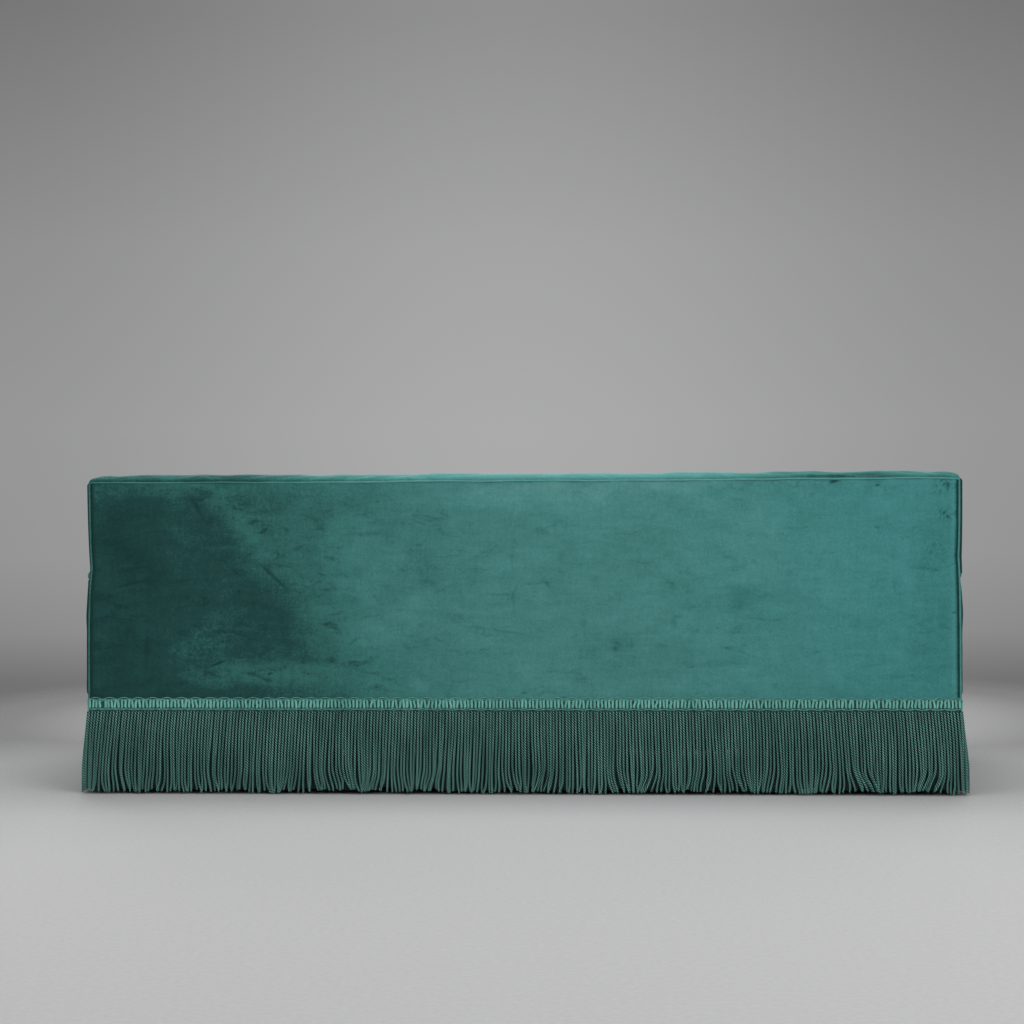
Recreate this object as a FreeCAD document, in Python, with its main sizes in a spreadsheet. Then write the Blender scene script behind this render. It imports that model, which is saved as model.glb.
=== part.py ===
import FreeCAD, Part
import Sketcher
import math
import os
import re

# Driving dimensions in millimetres, with counts and angles in degrees where the name says so
DIMENSIONS = {
    "body_width": 2200,
    "body_depth": 880,
    "seam_height": 790,
    "back_crown": 15,
    "back_crown_end": 8,
    "back_crown_run": 92,
    "back_corner": 22,
    "back_front": 233,
    "back_lean": 60,
    "back_belly": 12,
    "back_shoulder_drop": 42,
    "back_shoulder_run": 57,
    "arm_seam_height": 552,
    "arm_width": 170,
    "arm_shoulder_drop": 47,
    "arm_shoulder_radius": 58,
    "arm_shoulder_degrees": 65,
    "arm_edge_inset": 9,
    "arm_edge_rise": 3,
    "arm_piping_turn": 12,
    "velvet": 3,
    "liner": 5,
    "front_pad": 12,
    "side_border": 7.5,
    "timber": 32,
    "post_width": 42,
    "post_depth": 50,
    "rail_base": 140,
    "rail_height": 110,
    "cross_rail_size": 60,
    "top_rail_height": 40,
    "tack_rail_base": 300,
    "tack_rail_height": 40,
    "stile_offset": 350,
    "stile_width": 40,
    "back_post_top": 765,
    "arm_post_top": 520,
    "arm_rail_height": 32,
    "panel_thickness": 4,
    "dowel_radius": 5,
    "dowel_length": 44,
    "block_leg": 110,
    "block_height": 60,
    "screw_radius": 2.5,
    "screw_head_radius": 5,
    "screw_head_height": 3,
    "screw_length": 62,
    "screw_offset": 66,
    "screw_sink": 4,
    "bolt_radius": 4,
    "bolt_length": 80,
    "leg_offset": 33,
    "leg_top_radius": 28,
    "leg_foot_radius": 18,
    "glide_radius": 14,
    "glide_height": 6,
    "glide_pin_radius": 2,
    "glide_pin_top": 24,
    "dust_cloth": 1,
    "spring_count": 9,
    "spring_runs": 16,
    "spring_spacing": 225,
    "spring_half_run": 14,
    "wire_radius": 2,
    "wire_level": 256,
    "clip_length": 22,
    "clip_wall": 1.4,
    "clip_tail": 13,
    "hessian_level": 260,
    "hessian": 1.5,
    "deck_level": 284,
    "webbing": 1.5,
    "webbing_width": 50,
    "web_spacing": 210,
    "web_straps": 9,
    "web_bands": 3,
    "cover_base": 143,
    "piping_radius": 4,
    "gimp_base": 212,
    "gimp_height": 30,
    "gimp_thickness": 4.7,
    "fringe_foot": 6,
    "fringe_belly_level": 90,
    "fringe_head_depth": 3,
    "fringe_foot_depth": 9,
    "fringe_flare": 8,
    "cord_pitch": 8,
    "cord_swell": 3,
    "cushion_half_width": 300,
    "cushion_spacing": 619,
    "cushion_front": 436,
    "cushion_back": 221,
    "cushion_height": 150,
    "cushion_crown": 20,
    "cushion_end_crown": 5,
    "cushion_bulge": 8,
    "cushion_draw": 4,
    "cushion_corner": 20,
    "tuft_spacing": 300,
    "tuft_count": 6,
    "tuft_height": 640,
    "tuft_radius": 93,
    "tuft_depth": 22,
    "button_radius": 11,
    "button_edge": 3,
    "button_height": 7,
    "side_button_inset": 22,
    "gap": 0.3,
}

doc = FreeCAD.newDocument("fringed_sofa")
sheet = doc.addObject("Spreadsheet::Sheet", "Dimensions")
for row, (alias, value) in enumerate(DIMENSIONS.items(), 1):
    sheet.set(f"A{row}", alias)
    sheet.set(f"B{row}", str(value))
    sheet.setAlias(f"B{row}", alias)
doc.recompute()

Vector = FreeCAD.Vector
ORIGIN = Vector(0, 0, 0)
X = Vector(1, 0, 0)
Y = Vector(0, 1, 0)
Z = Vector(0, 0, 1)
UNTURNED = FreeCAD.Rotation()
LEFT = 1
RIGHT = -1
SIDES = {"left": LEFT, "right": RIGHT}

# Faces and spans of the frame, as expressions of the sheet
FRAME_SIDE = "(body_width/2 - velvet - liner)"
FRAME_BACK = "(body_depth/2 - velvet - liner)"
FRAME_FRONT = "(body_depth/2 - velvet - front_pad)"
FRONT_SPAN = f"({FRAME_SIDE} - timber)"
BACK_SPAN = f"({FRAME_SIDE} - post_width)"
BACK_PLANE = f"({FRAME_BACK} - timber)"
SIDE_START = f"(-{FRAME_FRONT} + post_depth)"
SIDE_RUN = f"({BACK_PLANE} - {SIDE_START})"
RAIL_TOP = "(rail_base + rail_height)"

nodes = []


def size(alias):
    """A driving dimension as a number."""
    return float(sheet.get(alias))


def count(alias):
    """A driving count."""
    return int(sheet.get(alias))


def rule(text):
    """An expression written in aliases, as the document needs it."""
    return re.sub(r"[a-z_]{3,}", lambda match: f"Dimensions.{match.group()}", text)


def spread(number, spacing):
    """Evenly spaced places about zero."""
    return [(i - (number - 1) / 2) * spacing for i in range(number)]


def node(piece):
    """Lists a finished sub-part for the checks and the export."""
    nodes.append(piece)
    return piece


def feature(label, shape):
    """An object for a shape that no primitive or body gives."""
    piece = doc.addObject("Part::Feature", label)
    piece.Shape = shape
    return piece


def group(label, shapes):
    """One node that holds several separate solids."""
    return node(feature(label, Part.makeCompound(shapes)))


def placed(shape, at, turn=UNTURNED):
    """A copy of a shape, turned about its own origin and moved."""
    copy = shape.copy()
    copy.Placement = FreeCAD.Placement(at, turn).multiply(copy.Placement)
    return copy


def mirrored(shape):
    """The same shape on the other side of the sofa."""
    return shape.mirror(ORIGIN, X)


def box(label, sizes, low):
    """A block bound to the sheet by its sizes and its lowest corner."""
    block = doc.addObject("Part::Box", label)
    for name, text in zip(("Length", "Width", "Height"), sizes):
        block.setExpression(name, rule(text))
    for axis, text in zip("xyz", low):
        block.setExpression(f"Placement.Base.{axis}", rule(text))
    return block


def side_box(label, side, sizes, low):
    """A block on the left, or its mirror image on the right."""
    x = low[0] if side == LEFT else f"-({low[0]}) - ({sizes[0]})"
    return box(label, sizes, (x, low[1], low[2]))


def compound(label, pieces):
    """Several objects of the document held as one."""
    joined = doc.addObject("Part::Compound", label)
    joined.Links = pieces
    return joined


def both(label, sizes, low):
    """A left and a right block held as one."""
    return compound(label, [side_box(f"{label}_{name}", side, sizes, low) for name, side in SIDES.items()])


def cut(label, base, tools):
    """A sub-part with the space of other pieces taken out of it."""
    piece = doc.addObject("Part::Cut", label)
    piece.Base = base
    piece.Tool = compound(f"{label}_bores", tools)
    return node(piece)


def rounded(label, panel, radius):
    """An upright panel with its two upper corners rounded."""
    top = panel.Shape.BoundBox.ZMax
    piece = doc.addObject("Part::Fillet", label)
    piece.Base = panel
    piece.Edges = [
        (number, radius, radius)
        for number, edge in enumerate(panel.Shape.Edges, 1)
        if abs(edge.tangentAt(edge.FirstParameter).dot(Y)) > 0.5 and edge.BoundBox.ZMax > top - radius
    ]
    return piece


def touching(piece, others):
    """Those of the other pieces whose boxes meet this one's."""
    return [other for other in others if other.Shape.BoundBox.intersect(piece.Shape.BoundBox)]


def sketched(body, role, outline):
    """A sketch of straight lines through corners given as pairs of expressions."""
    plane = next(part for part in body.Origin.OriginFeatures if part.Role == role)
    sketch = body.newObject("Sketcher::SketchObject", f"{body.Name}_outline")
    sketch.AttachmentSupport = (plane, "")
    sketch.MapMode = "FlatFace"
    number = len(outline)
    angles = [math.tau * i / number for i in range(number)]
    corners = [Vector(math.cos(angle), math.sin(angle), 0) for angle in angles]
    for start, end in zip(corners, corners[1:] + corners[:1]):
        sketch.addGeometry(Part.LineSegment(start, end))
    for i in range(number):
        sketch.addConstraint(Sketcher.Constraint("Coincident", i, 2, (i + 1) % number, 1))
    for i, corner in enumerate(outline):
        for kind, axis, text in zip(("DistanceX", "DistanceY"), (-2, -1), corner):
            if text == "0":
                sketch.addConstraint(Sketcher.Constraint("PointOnObject", i, 1, axis))
            else:
                entry = sketch.addConstraint(Sketcher.Constraint(kind, -1, 1, i, 1, 1.0))
                sketch.setExpression(f"Constraints[{entry}]", rule(text))
    return sketch


def turned(label, outline):
    """A body turned about its upright axis from corners of radius and height."""
    body = doc.addObject("PartDesign::Body", label)
    sketch = sketched(body, "XZ_Plane", outline)
    turn = body.newObject("PartDesign::Revolution", f"{label}_turn")
    turn.Profile = sketch
    turn.ReferenceAxis = (sketch, ["V_Axis"])
    turn.Angle = 360
    body.Tip = turn
    doc.recompute()
    return body


def padded(label, outline, height):
    """A body raised from an outline on the ground plane."""
    body = doc.addObject("PartDesign::Body", label)
    sketch = sketched(body, "XY_Plane", outline)
    pad = body.newObject("PartDesign::Pad", f"{label}_pad")
    pad.Profile = sketch
    pad.setExpression("Length", rule(height))
    body.Tip = pad
    doc.recompute()
    return body


def edges_along(start, steps):
    """Edges from a start point: a step of one point is a line, one of two points an arc through the first."""
    edges = []
    here = start
    for step in steps:
        if len(step) == 1:
            edges.append(Part.LineSegment(here, step[0]).toShape())
        else:
            edges.append(Part.Arc(here, step[0], step[1]).toShape())
        here = step[-1]
    return edges


def heading_at_end(edge):
    """The way an edge points where it ends."""
    return edge.tangentAt(edge.LastParameter)


def arc_on(edge, end):
    """An arc that goes on from an edge without a kink, to an end point."""
    start = edge.valueAt(edge.LastParameter)
    heading = heading_at_end(edge)
    chord = end - start
    along = Vector(chord).normalize()
    aside = heading - along * heading.dot(along)
    middle = (start + end) * 0.5 + aside.normalize() * (chord.Length / 2) * math.tan(heading.getAngle(along) / 2)
    return Part.Arc(start, middle, end).toShape()


def last_point(edges):
    """Where a chain of edges ends."""
    return edges[-1].valueAt(edges[-1].LastParameter)


def first_point(edges):
    """Where a chain of edges starts."""
    return edges[0].valueAt(edges[0].FirstParameter)


def closed_wire(edges, corners):
    """A chain of edges closed by straight lines through corners."""
    closing = edges_along(last_point(edges), [(corner,) for corner in corners] + [(first_point(edges),)])
    return Part.Wire(edges + closing)


def band_wire(outer, inner):
    """Two chains of edges side by side, closed into a thin band."""
    over = Part.LineSegment(last_point(outer), last_point(inner)).toShape()
    back = Part.LineSegment(first_point(inner), first_point(outer)).toShape()
    return Part.Wire(outer + [over] + inner[::-1] + [back])


def tube(path, radius):
    """A round cord swept along joined edges."""
    first = path[0]
    start = first.valueAt(first.FirstParameter)
    ring = Part.Wire(Part.makeCircle(radius, start, first.tangentAt(first.FirstParameter)))
    return Part.Wire(path).makePipeShell([ring], True, False)


def dowel(at, axis):
    """A dowel centred on a joint."""
    pin = doc.addObject("Part::Cylinder", "dowel")
    pin.setExpression("Radius", rule("dowel_radius"))
    pin.setExpression("Height", rule("dowel_length"))
    pin.Placement = FreeCAD.Placement(at - axis * (size("dowel_length") / 2), FreeCAD.Rotation(Z, axis))
    return pin


def end_dowels(block, axis, rise, shares):
    """Dowels across both ends of a timber, at shares of its half height."""
    room = block.Shape.BoundBox
    half = Vector(room.XLength, room.YLength, room.ZLength) * 0.5
    return [
        dowel(room.Center + axis * (half.dot(axis) * end) + rise * (half.dot(rise) * share), axis)
        for end in (-1, 1)
        for share in shares
    ]


def frame_blanks():
    """The frame's timbers before they are bored."""
    side = ("timber", SIDE_RUN)
    side_low = (FRONT_SPAN, SIDE_START)
    return {
        "front_rail": box(
            "front_rail_blank",
            (f"2*{FRONT_SPAN}", "timber", "rail_height"),
            (f"-{FRONT_SPAN}", f"-{FRAME_FRONT}", "rail_base"),
        ),
        "back_rail": box(
            "back_rail_blank",
            (f"2*{BACK_SPAN}", "timber", "rail_height"),
            (f"-{BACK_SPAN}", BACK_PLANE, "rail_base"),
        ),
        "side_rails": both("side_rail_blanks", (*side, "rail_height"), (*side_low, "rail_base")),
        "centre_cross_rail": box(
            "centre_cross_rail_blank",
            ("cross_rail_size", f"{FRAME_FRONT} + {FRAME_BACK} - 2*timber", "cross_rail_size"),
            ("-cross_rail_size/2", f"timber - {FRAME_FRONT}", "rail_base"),
        ),
        "back_post_left": side_box(
            "back_post_left_blank",
            LEFT,
            ("post_width", "timber", "back_post_top - rail_base"),
            (BACK_SPAN, BACK_PLANE, "rail_base"),
        ),
        "back_post_right": side_box(
            "back_post_right_blank",
            RIGHT,
            ("post_width", "timber", "back_post_top - rail_base"),
            (BACK_SPAN, BACK_PLANE, "rail_base"),
        ),
        "back_top_rail": box(
            "back_top_rail_blank",
            (f"2*{BACK_SPAN}", "timber", "top_rail_height"),
            (f"-{BACK_SPAN}", BACK_PLANE, "back_post_top - top_rail_height"),
        ),
        "back_tack_rail": box(
            "back_tack_rail_blank",
            (f"2*{BACK_SPAN}", "timber", "tack_rail_height"),
            (f"-{BACK_SPAN}", BACK_PLANE, "tack_rail_base"),
        ),
        "back_stiles": both(
            "back_stile_blanks",
            ("stile_width", "timber", "back_post_top - top_rail_height - tack_rail_base - tack_rail_height"),
            ("stile_offset - stile_width/2", BACK_PLANE, "tack_rail_base + tack_rail_height"),
        ),
        "arm_posts": both(
            "arm_post_blanks",
            ("timber", "post_depth", "arm_post_top - rail_base"),
            (FRONT_SPAN, f"-{FRAME_FRONT}", "rail_base"),
        ),
        "arm_top_rails": both(
            "arm_top_rail_blanks",
            (*side, "arm_rail_height"),
            (*side_low, "arm_post_top - arm_rail_height"),
        ),
        "arm_tack_rails": both("arm_tack_rail_blanks", (*side, "tack_rail_height"), (*side_low, "tack_rail_base")),
    }


def frame_dowels(blanks):
    """Two dowels at each end of the seat rails and one at each end of the lighter timbers."""
    pair = (-0.5, 0.5)
    single = (0,)
    joints = [
        (blanks["front_rail"], X, Z, pair),
        (blanks["back_rail"], X, Z, pair),
        (blanks["back_top_rail"], X, Z, single),
        (blanks["back_tack_rail"], X, Z, single),
        (blanks["centre_cross_rail"], Y, X, pair),
    ]
    joints += [(rail, Y, Z, pair) for rail in blanks["side_rails"].Links]
    joints += [(stile, Z, X, single) for stile in blanks["back_stiles"].Links]
    joints += [(rail, Y, Z, single) for rail in blanks["arm_top_rails"].Links]
    joints += [(rail, Y, Z, single) for rail in blanks["arm_tack_rails"].Links]
    return [pin for joint in joints for pin in end_dowels(*joint)]


def corner_places(blanks):
    """The four inner corners of the seat frame, each with the turn of its block."""
    reach = blanks["front_rail"].Shape.BoundBox.XMax
    front = blanks["front_rail"].Shape.BoundBox.YMax
    back = blanks["back_rail"].Shape.BoundBox.YMin
    places = ((-reach, front), (reach, front), (reach, back), (-reach, back))
    level = size("rail_base")
    return [
        FreeCAD.Placement(Vector(x, y, level), FreeCAD.Rotation(Z, 90 * turn))
        for turn, (x, y) in enumerate(places)
    ]


def corner_screws(corners):
    """Two screws in each corner block, and the bores that their heads go in by."""
    screw = turned(
        "screw",
        [
            ("0", "0"),
            ("screw_radius", "2*screw_radius"),
            ("screw_radius", "screw_length - screw_head_height"),
            ("screw_head_radius", "screw_length"),
            ("0", "screw_length"),
        ],
    ).Shape
    offset = size("screw_offset")
    depth = size("block_leg") - offset - size("screw_sink")
    access = Part.makeCylinder(size("screw_head_radius"), offset, Vector(0, 0, size("screw_length")), Z)
    middle = size("block_height") / 2
    tip = depth - size("screw_length")
    seats = (
        (Vector(offset, tip, middle), FreeCAD.Rotation(Z, Y)),
        (Vector(tip, offset, middle), FreeCAD.Rotation(Z, X)),
    )
    screws = []
    bores = []
    for corner in corners:
        for at, turn in seats:
            spot = corner.multiply(FreeCAD.Placement(at, turn))
            screws.append(placed(screw, spot.Base, spot.Rotation))
            bores.append(placed(access, spot.Base, spot.Rotation))
    return group("corner_block_screws", screws), feature("screw_access", Part.makeCompound(bores))


def leg_places(corners):
    """Where the six legs stand: under each corner block and under both ends of the cross rail."""
    offset = size("leg_offset")
    outer = [corner.multVec(Vector(offset, offset, 0)) for corner in corners]
    centre = [Vector(0, spot.y, spot.z) for spot in outer if spot.x > 0]
    return outer + centre


def build_frame():
    """The timber frame with its dowels, corner blocks, screws, legs, bolts and glides."""
    blanks = frame_blanks()
    doc.recompute()
    pins = frame_dowels(blanks)
    doc.recompute()
    group("frame_dowels", [pin.Shape for pin in pins])

    corners = corner_places(blanks)
    screws, access = corner_screws(corners)
    spots = leg_places(corners)

    bolt_low = Vector(0, 0, -size("bolt_length") / 2)
    bolt = Part.makeCylinder(size("bolt_radius"), size("bolt_length"), bolt_low, Z)
    bolts = group("leg_bolts", [placed(bolt, spot) for spot in spots])

    glide = turned(
        "glide",
        [
            ("0", "0"),
            ("glide_radius", "0"),
            ("glide_radius", "glide_height"),
            ("glide_pin_radius", "glide_height"),
            ("glide_pin_radius", "glide_pin_top"),
            ("0", "glide_pin_top"),
        ],
    ).Shape
    floor_spots = [Vector(spot.x, spot.y, 0) for spot in spots]
    glides = group("leg_glides", [placed(glide, spot) for spot in floor_spots])

    leg = turned(
        "leg",
        [
            ("0", "glide_height"),
            ("leg_foot_radius", "glide_height"),
            ("leg_top_radius", "rail_base"),
            ("0", "rail_base"),
        ],
    ).Shape
    legs = feature("leg_blanks", Part.makeCompound([placed(leg, spot) for spot in floor_spots]))
    cut("legs", legs, [bolts, glides])

    block = padded("block", [("0", "0"), ("block_leg", "0"), ("0", "block_leg")], "block_height").Shape
    blocks = [placed(block, corner.Base, corner.Rotation) for corner in corners]
    cut("corner_blocks", feature("block_blanks", Part.makeCompound(blocks)), [bolts, screws, access])

    hardware = pins + [screws, bolts]
    for label, blank in blanks.items():
        cut(label, blank, touching(blank, hardware))
    return blanks, spots


def dust_cover(spots):
    """The cloth under the seat, cut out round the legs."""
    cloth = box(
        "dust_cloth_blank",
        (f"2*{FRAME_SIDE}", f"{FRAME_FRONT} + {FRAME_BACK}", "dust_cloth"),
        (f"-{FRAME_SIDE}", f"-{FRAME_FRONT}", "rail_base - dust_cloth"),
    )
    low = Vector(0, 0, -size("timber"))
    hole = Part.makeCylinder(size("leg_top_radius") + size("gap"), size("timber"), low, Z)
    cut("dust_cover", cloth, [feature("leg_holes", Part.makeCompound([placed(hole, spot) for spot in spots]))])


def spring_path(x, front, back):
    """One zigzag of straight runs joined by half turns, each in two quarter arcs."""
    runs = count("spring_runs")
    radius = (back - front) / (runs - 1) / 2
    level = size("wire_level")
    reach = size("spring_half_run")
    diagonal = radius * math.sqrt(0.5)
    steps = []
    for run in range(runs):
        hand = 1 if run % 2 == 0 else -1
        y = front + 2 * radius * run
        end = x + hand * reach
        steps.append((Vector(end, y, level),))
        if run < runs - 1:
            outermost = Vector(end + hand * radius, y + radius, level)
            first = Vector(end + hand * diagonal, y + radius - diagonal, level)
            second = Vector(end + hand * diagonal, y + radius + diagonal, level)
            steps.append((first, outermost))
            steps.append((second, Vector(end, y + 2 * radius, level)))
    return edges_along(Vector(x - reach, front, level), steps)


def spring_clip():
    """A clip that closes over the end of a spring, with a tail nailed to the rail."""
    bore_radius = "(wire_radius + gap)"
    length = "clip_length"
    lay = FreeCAD.Rotation(Z, X)
    rings = []
    for name, radius in (("clip_ring", f"{bore_radius} + clip_wall"), ("clip_bore", bore_radius)):
        ring = doc.addObject("Part::Cylinder", name)
        ring.setExpression("Radius", rule(radius))
        ring.setExpression("Height", rule(length))
        ring.Placement = FreeCAD.Placement(ORIGIN, lay)
        ring.setExpression("Placement.Base.x", rule("-clip_length/2"))
        rings.append(ring)
    tail = box(
        "clip_plate",
        (length, f"clip_tail + {bore_radius}", f"wire_level - {RAIL_TOP} - {bore_radius}"),
        ("-clip_length/2", "-clip_tail", f"{RAIL_TOP} - wire_level"),
    )
    folded = doc.addObject("Part::Fuse", "clip_folded")
    folded.Base = rings[0]
    folded.Tool = tail
    clip = doc.addObject("Part::Cut", "clip")
    clip.Base = folded
    clip.Tool = rings[1]
    doc.recompute()
    return clip.Shape


def build_suspension(blanks):
    """Seat springs with their clips, the hessian over them and the webbing in the back."""
    front = blanks["front_rail"].Shape.BoundBox.Center.y
    back = blanks["back_rail"].Shape.BoundBox.Center.y
    places = spread(count("spring_count"), size("spring_spacing"))
    group("seat_springs", [tube(spring_path(x, front, back), size("wire_radius")) for x in places])

    clip = spring_clip()
    level = size("wire_level")
    half_turn = FreeCAD.Rotation(Z, 180)
    clips = [placed(clip, Vector(x, front, level)) for x in places]
    clips += [placed(clip, Vector(x, back, level), half_turn) for x in places]
    group("spring_clips", clips)

    straps = [
        box(
            "web_strap",
            ("webbing_width", "webbing", "back_post_top - tack_rail_base"),
            (f"{x} - webbing_width/2", f"{BACK_PLANE} - webbing", "tack_rail_base"),
        )
        for x in spread(count("web_straps"), size("web_spacing"))
    ]
    half = f"({FRONT_SPAN} - panel_thickness)"
    bands = [
        box(
            "web_band",
            (f"2*{half}", "webbing", "webbing_width"),
            (f"-{half}", f"{BACK_PLANE} - 2*webbing", f"tack_rail_base + {row}*(webbing_width + timber)"),
        )
        for row in range(count("web_bands"), 0, -1)
    ]
    node(compound("back_webbing", straps + bands))


def seat_layer(label, low, thickness):
    """One flat layer of the seat, between the arm panels and up to the back webbing."""
    half = f"({FRONT_SPAN} - panel_thickness - gap)"
    front = "(body_depth/2 - velvet - gap)"
    back = f"({BACK_PLANE} - 2*webbing - gap)"
    return node(box(label, (f"2*{half}", f"{front} + {back}", thickness), (f"-{half}", f"-{front}", low)))


def build_seat():
    """The flat layers of the seat and its front border."""
    seat_layer("seat_hessian", "hessian_level", "hessian")
    seat_layer("seat_deck_pad", "hessian_level + hessian", "deck_level - hessian_level - hessian")
    seat_layer("seat_deck_cover", "deck_level", "velvet")
    node(
        box(
            "front_border_pad",
            (f"2*{FRAME_SIDE}", "front_pad - gap", "rail_height"),
            (f"-{FRAME_SIDE}", f"-{FRAME_FRONT} - front_pad + gap", "rail_base"),
        )
    )
    half = "(body_width/2 - arm_width - gap)"
    node(
        box(
            "front_border_cover",
            (f"2*{half}", "velvet", "deck_level + velvet - cover_base"),
            (f"-{half}", "-body_depth/2", "cover_base"),
        )
    )


def build_outside():
    """Lining boards and the flat covers of the outside back and outside arms."""
    node(
        box(
            "outside_back_liner",
            (f"2*{FRAME_SIDE}", "liner", "back_post_top - rail_base"),
            (f"-{FRAME_SIDE}", FRAME_BACK, "rail_base"),
        )
    )
    node(
        both(
            "outside_arm_liners",
            ("liner", f"{FRAME_FRONT} + {FRAME_BACK}", "arm_post_top - rail_base"),
            (FRAME_SIDE, f"-{FRAME_FRONT}", "rail_base"),
        )
    )
    node(
        both(
            "arm_panels",
            ("panel_thickness", f"{FRAME_FRONT} + {BACK_PLANE}", "arm_post_top - tack_rail_base"),
            (f"{FRONT_SPAN} - panel_thickness", f"-{FRAME_FRONT}", "tack_rail_base"),
        )
    )
    seam_room = "(piping_radius + gap)"
    half = f"(body_width/2 - {seam_room})"
    panel = box(
        "outside_back_panel",
        (f"2*{half}", "velvet", f"seam_height - {seam_room} - cover_base"),
        (f"-{half}", "body_depth/2 - velvet", "cover_base"),
    )
    doc.recompute()
    node(rounded("outside_back_cover", panel, size("back_corner") - size("piping_radius") - size("gap")))
    run = f"body_depth - velvet - gap - {seam_room}"
    for name, side in SIDES.items():
        node(
            side_box(
                f"outside_arm_cover_{name}",
                side,
                ("velvet", run, f"arm_seam_height - {seam_room} - cover_base"),
                ("body_width/2 - velvet", "velvet + gap - body_depth/2", "cover_base"),
            )
        )


def arm_chain(inset, foot):
    """The arm's section from the foot of its inner face, over its rounded top, to its outer seam."""
    inner = size("body_width") / 2 - size("arm_width") + inset
    spring = size("arm_seam_height") - size("arm_shoulder_drop")
    radius = size("arm_shoulder_radius") - inset
    middle = Vector(inner + radius, 0, spring)
    sweep = math.radians(size("arm_shoulder_degrees"))
    seam = Vector(
        size("body_width") / 2 - size("arm_edge_inset") - inset / 2,
        0,
        size("arm_seam_height") + size("arm_edge_rise") - inset,
    )

    def on_shoulder(angle):
        return middle + Vector(-radius * math.cos(angle), 0, radius * math.sin(angle))

    chain = edges_along(
        Vector(inner, 0, foot),
        [(on_shoulder(0),), (on_shoulder(sweep / 2), on_shoulder(sweep))],
    )
    return chain + [arc_on(chain[-1], seam)]


def along_arm(wire, front, back):
    """A section of the arm drawn out from front to back."""
    return placed(Part.Face(wire).extrude(Y * (back - front)), Y * front)


def arm_piping_path():
    """The piping on an arm facing: up its inner edge, over the top and down its outer edge."""
    inset = size("piping_radius") + size("velvet")
    chain = arm_chain(inset, size("deck_level") + size("velvet"))
    heading = heading_at_end(chain[-1])
    drop = math.atan2(-heading.z, heading.x)
    radius = size("arm_piping_turn")
    middle = last_point(chain) + Vector(-math.sin(drop), 0, -math.cos(drop)) * radius
    halfway = (math.pi / 2 - drop) / 2
    turn_end = middle + X * radius
    foot = Vector(turn_end.x, 0, size("gimp_base") + size("gimp_height"))
    steps = [
        (middle + Vector(math.cos(halfway), 0, math.sin(halfway)) * radius, turn_end),
        (foot,),
    ]
    return chain + edges_along(last_point(chain), steps)


def build_arms():
    """Arm pads, inside arm covers, facings and the piping of both arms."""
    gap = size("gap")
    half_width = size("body_width") / 2
    half_depth = size("body_depth") / 2
    front = gap + size("velvet") - half_depth
    back = half_depth - size("velvet") - size("liner") - size("timber") - 2 * size("webbing") - gap
    foot = size("deck_level") + 2 * size("velvet")
    outer = arm_chain(0, foot)
    inner = arm_chain(size("velvet"), foot)
    cover = along_arm(band_wire(outer, inner), front, back)

    rail_inside = half_width - size("velvet") - size("liner") - size("timber") - size("panel_thickness") - gap
    rail_top = size("arm_post_top") + gap
    edge = last_point(inner)
    stuffing = [Vector(edge.x, 0, rail_top), Vector(rail_inside, 0, rail_top), Vector(rail_inside, 0, foot)]
    pad = along_arm(closed_wire(inner, stuffing), front, back)

    facing_edge = half_width - size("velvet") - gap
    base = size("cover_base")
    shoulder = size("arm_seam_height") - size("piping_radius")
    corners = [Vector(facing_edge, 0, shoulder), Vector(facing_edge, 0, base)]
    facing = along_arm(closed_wire(arm_chain(0, base), corners), -half_depth, size("velvet") - half_depth)

    radius = size("piping_radius")
    loop = placed(tube(arm_piping_path(), radius), Y * -(half_depth + radius + gap))
    seam_x = half_width - size("velvet")
    seam_z = size("arm_seam_height") + gap
    seam_back = half_depth - size("side_button_inset") - size("button_radius") - gap
    seam = tube(edges_along(Vector(seam_x, front, seam_z), [(Vector(seam_x, seam_back, seam_z),)]), radius)

    for label, shape in (("arm_pad", pad), ("inside_arm_cover", cover), ("arm_facing", facing)):
        node(feature(f"{label}_left", shape))
        node(feature(f"{label}_right", mirrored(shape)))
    group("arm_piping", [loop, seam, mirrored(loop), mirrored(seam)])


def back_chain(x, inset, rise):
    """The back's section from its foot, up the raked front and over the crown to the rear seam."""
    lean = size("back_front") + inset
    foot = Vector(x, lean, size("deck_level") + 2 * size("velvet"))
    shoulder = Vector(x, lean + size("back_lean"), size("seam_height") - size("back_shoulder_drop"))
    belly = (foot + shoulder) * 0.5 - Y * size("back_belly")
    crest = Vector(x, shoulder.y + size("back_shoulder_run") - inset, size("seam_height") + rise - inset)
    rear = Vector(
        x,
        size("body_depth") / 2 - size("velvet") - inset,
        size("seam_height") + size("piping_radius") - inset,
    )
    chain = edges_along(foot, [(belly, shoulder)])
    chain.append(arc_on(chain[-1], crest))
    return chain + [arc_on(chain[-1], rear)]


def back_stations():
    """Places along the back and the rise of its crown there, which falls away in a quarter ellipse."""
    end = size("body_width") / 2 - size("side_border") - size("gap")
    run = size("back_crown_run")
    low = size("back_crown_end")
    shares = (1, 0.8, 0.5, 0)
    left = [(end - run * (1 - share), low + (size("back_crown") - low) * math.sqrt(1 - share**2)) for share in shares]
    right = [(-x, rise) for x, rise in left]
    return right + left[::-1]


def tuft_places():
    """Each tuft's button seat and the way it faces, on the arc of the back's front."""
    arc = back_chain(0, 0, size("back_crown"))[0].Curve
    height = size("tuft_height") - arc.Center.z
    facing = Vector(0, -math.sqrt(arc.Radius**2 - height**2), height).normalize()
    seat = arc.Center + facing * (arc.Radius - size("tuft_depth"))
    xs = spread(count("tuft_count"), size("tuft_spacing"))
    return [Vector(x, seat.y, seat.z) for x in xs], facing


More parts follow.
